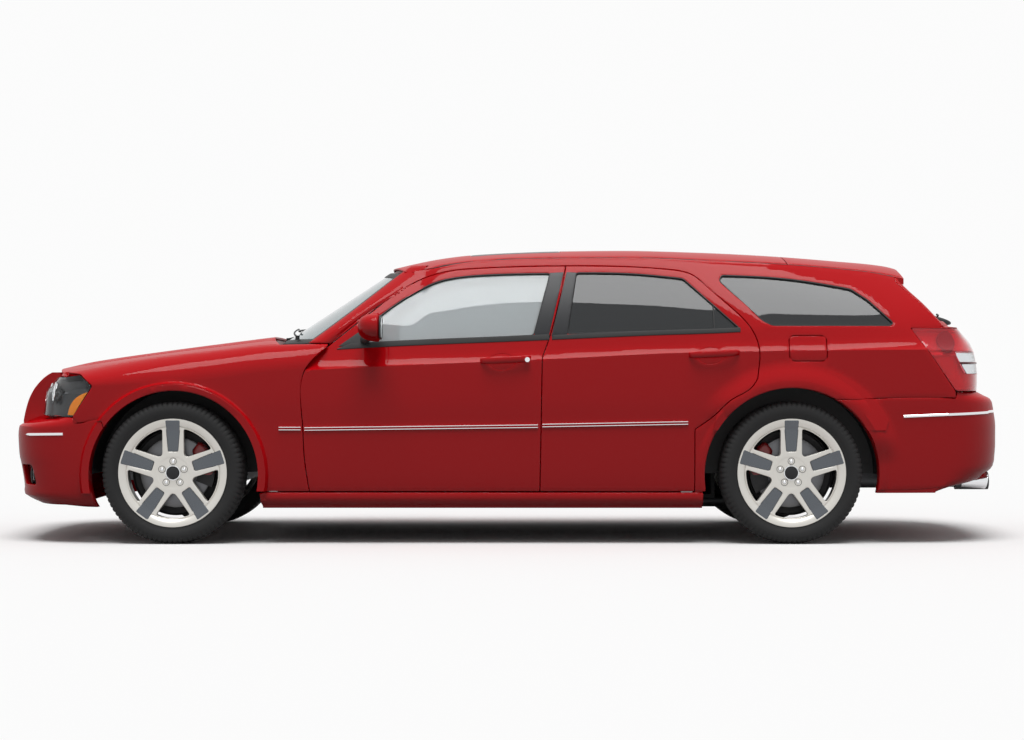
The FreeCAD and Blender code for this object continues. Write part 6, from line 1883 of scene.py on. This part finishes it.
class WAGON_OT_cabin(bpy.types.Operator):
    """Adds the padded seats, dashboard, steering wheel, door cards, carpet and headlining"""
    bl_idname = "wagon.cabin"
    bl_label = "Cabin"

    def execute(self, context):
        for side, y in (("left", -370), ("right", 370)):
            for key, part in seat_parts(y).items():
                stands_for = ["front_seats"] if (key, side) == ("cushion", "left") else []
                put(f"front_{key}_{side}", part, "leather", "root", stands_for, crease=70)
        for key, part in rear_seat_parts().items():
            stands_for = ["rear_seat"] if key == "cushion" else []
            put(f"rear_{key}", part, "leather", "root", stands_for, crease=70)
        put("seat_frames", both(seat_frame_part()), "steel_dark")
        put("dashboard_skin", dash_part(), "cabin", "root", ["dashboard"], wall=3.0)
        put("dashboard_dials", dial_part(), "dial")
        put("centre_console", console_part(), "cabin")
        put("steering_rim", steering_part(), "leather", "root", ["steering_wheel"])
        for row, first, last, top in (("front", -930, 150, (915, 985)), ("rear", 190, 1010, (985, 1010))):
            put_sides(f"{row}_door_card", card_part(first, last, *top), "cabin", f"{row}_door", wall=2.0)
        put("cabin_carpet", carpet_part(), "carpet", wall=3.0)
        put("headlining", lining_part(), "lining", wall=2.0)
        return {"FINISHED"}


# CAD nodes that stay in view, by their finish
FRAME_NODES = {
    "paint": ("body_sides", "roof", "front_fenders", "front_bumper", "rear_bumper", "hood", "tailgate",
              "fuel_door", "front_door_left", "front_door_right", "rear_door_left", "rear_door_right"),
    "gloss": ("sunroof",),
    "plastic": ("grille", "cowl", "front_wheel_housings", "rear_wheel_housings"),
    "underseal": ("floor_pan",),
    "aluminium": ("engine_block",),
    "iron": ("front_suspension", "rear_suspension", "knuckle_left", "knuckle_right"),
    "steel_dark": ("exhaust",),
}


class WAGON_OT_frame(bpy.types.Operator):
    """Gives every solid that stays in view its own finish"""
    bl_idname = "wagon.frame"
    bl_label = "Frame finishes"

    def execute(self, context):
        for key, nodes in FRAME_NODES.items():
            for node in nodes:
                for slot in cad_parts[node].material_slots:
                    slot.material = get(key)
        return {"FINISHED"}


class WAGON_OT_stage(bpy.types.Operator):
    """Adds the floor, the studio light and the camera"""
    bl_idname = "wagon.stage"
    bl_label = "Studio"

    def execute(self, context):
        scene = context.scene
        scene.view_settings.view_transform = "Standard"
        half = scene.wagon.floor_size / 2
        mesh = bpy.data.meshes.new("floor")
        corners = [(-half, -half, 0), (half, -half, 0), (half, half, 0), (-half, half, 0)]
        mesh.from_pydata(corners, [], [(0, 1, 2, 3)])
        floor = bpy.data.objects.new("floor", mesh)
        scene.collection.objects.link(floor)
        mesh.materials.append(studio_floor())
        scene.world = studio_world()
        data = bpy.data.lights.new("sun", "SUN")
        data.energy = SUN_POWER
        data.angle = math.radians(SUN_WIDTH)
        light = bpy.data.objects.new("sun", data)
        light.location = (0, -4, 8)
        light.rotation_euler = (math.radians(SUN_TILT), 0, 0)
        scene.collection.objects.link(light)
        camera = bpy.data.objects.new("camera", bpy.data.cameras.new("camera"))
        camera.location = CAMERA_PLACE
        camera.rotation_euler = (math.radians(90), 0, 0)
        camera.data.lens = CAMERA_LENS
        camera.data.sensor_width = 36
        scene.collection.objects.link(camera)
        scene.camera = camera
        return {"FINISHED"}


class WAGON_PT_sidebar(bpy.types.Panel):
    """Sizes, colours and the steps that build the wagon"""
    bl_idname = "WAGON_PT_sidebar"
    bl_label = "Station Wagon"
    bl_space_type = "VIEW_3D"
    bl_region_type = "UI"
    bl_category = "Wagon"

    def draw(self, context):
        for key in WagonSettings.__annotations__:
            self.layout.prop(context.scene.wagon, key)
        for step in STEPS:
            self.layout.operator(step.bl_idname)


STEPS = (WAGON_OT_frame, WAGON_OT_panels, WAGON_OT_glass, WAGON_OT_lamps, WAGON_OT_wheels, WAGON_OT_trim,
         WAGON_OT_cabin, WAGON_OT_stage)
CLASSES = (WagonSettings, *STEPS, WAGON_PT_sidebar)


def register():
    for cls in CLASSES:
        bpy.utils.register_class(cls)
    bpy.types.Scene.wagon = bpy.props.PointerProperty(type=WagonSettings)


def unregister():
    del bpy.types.Scene.wagon
    for cls in reversed(CLASSES):
        bpy.utils.unregister_class(cls)


def main():
    register()
    bpy.ops.wagon.frame()
    bpy.ops.wagon.panels()
    bpy.ops.wagon.glass()
    bpy.ops.wagon.lamps()
    bpy.ops.wagon.wheels()
    bpy.ops.wagon.trim()
    bpy.ops.wagon.cabin()
    bpy.ops.wagon.stage()


if __name__ == "__main__":
    main()
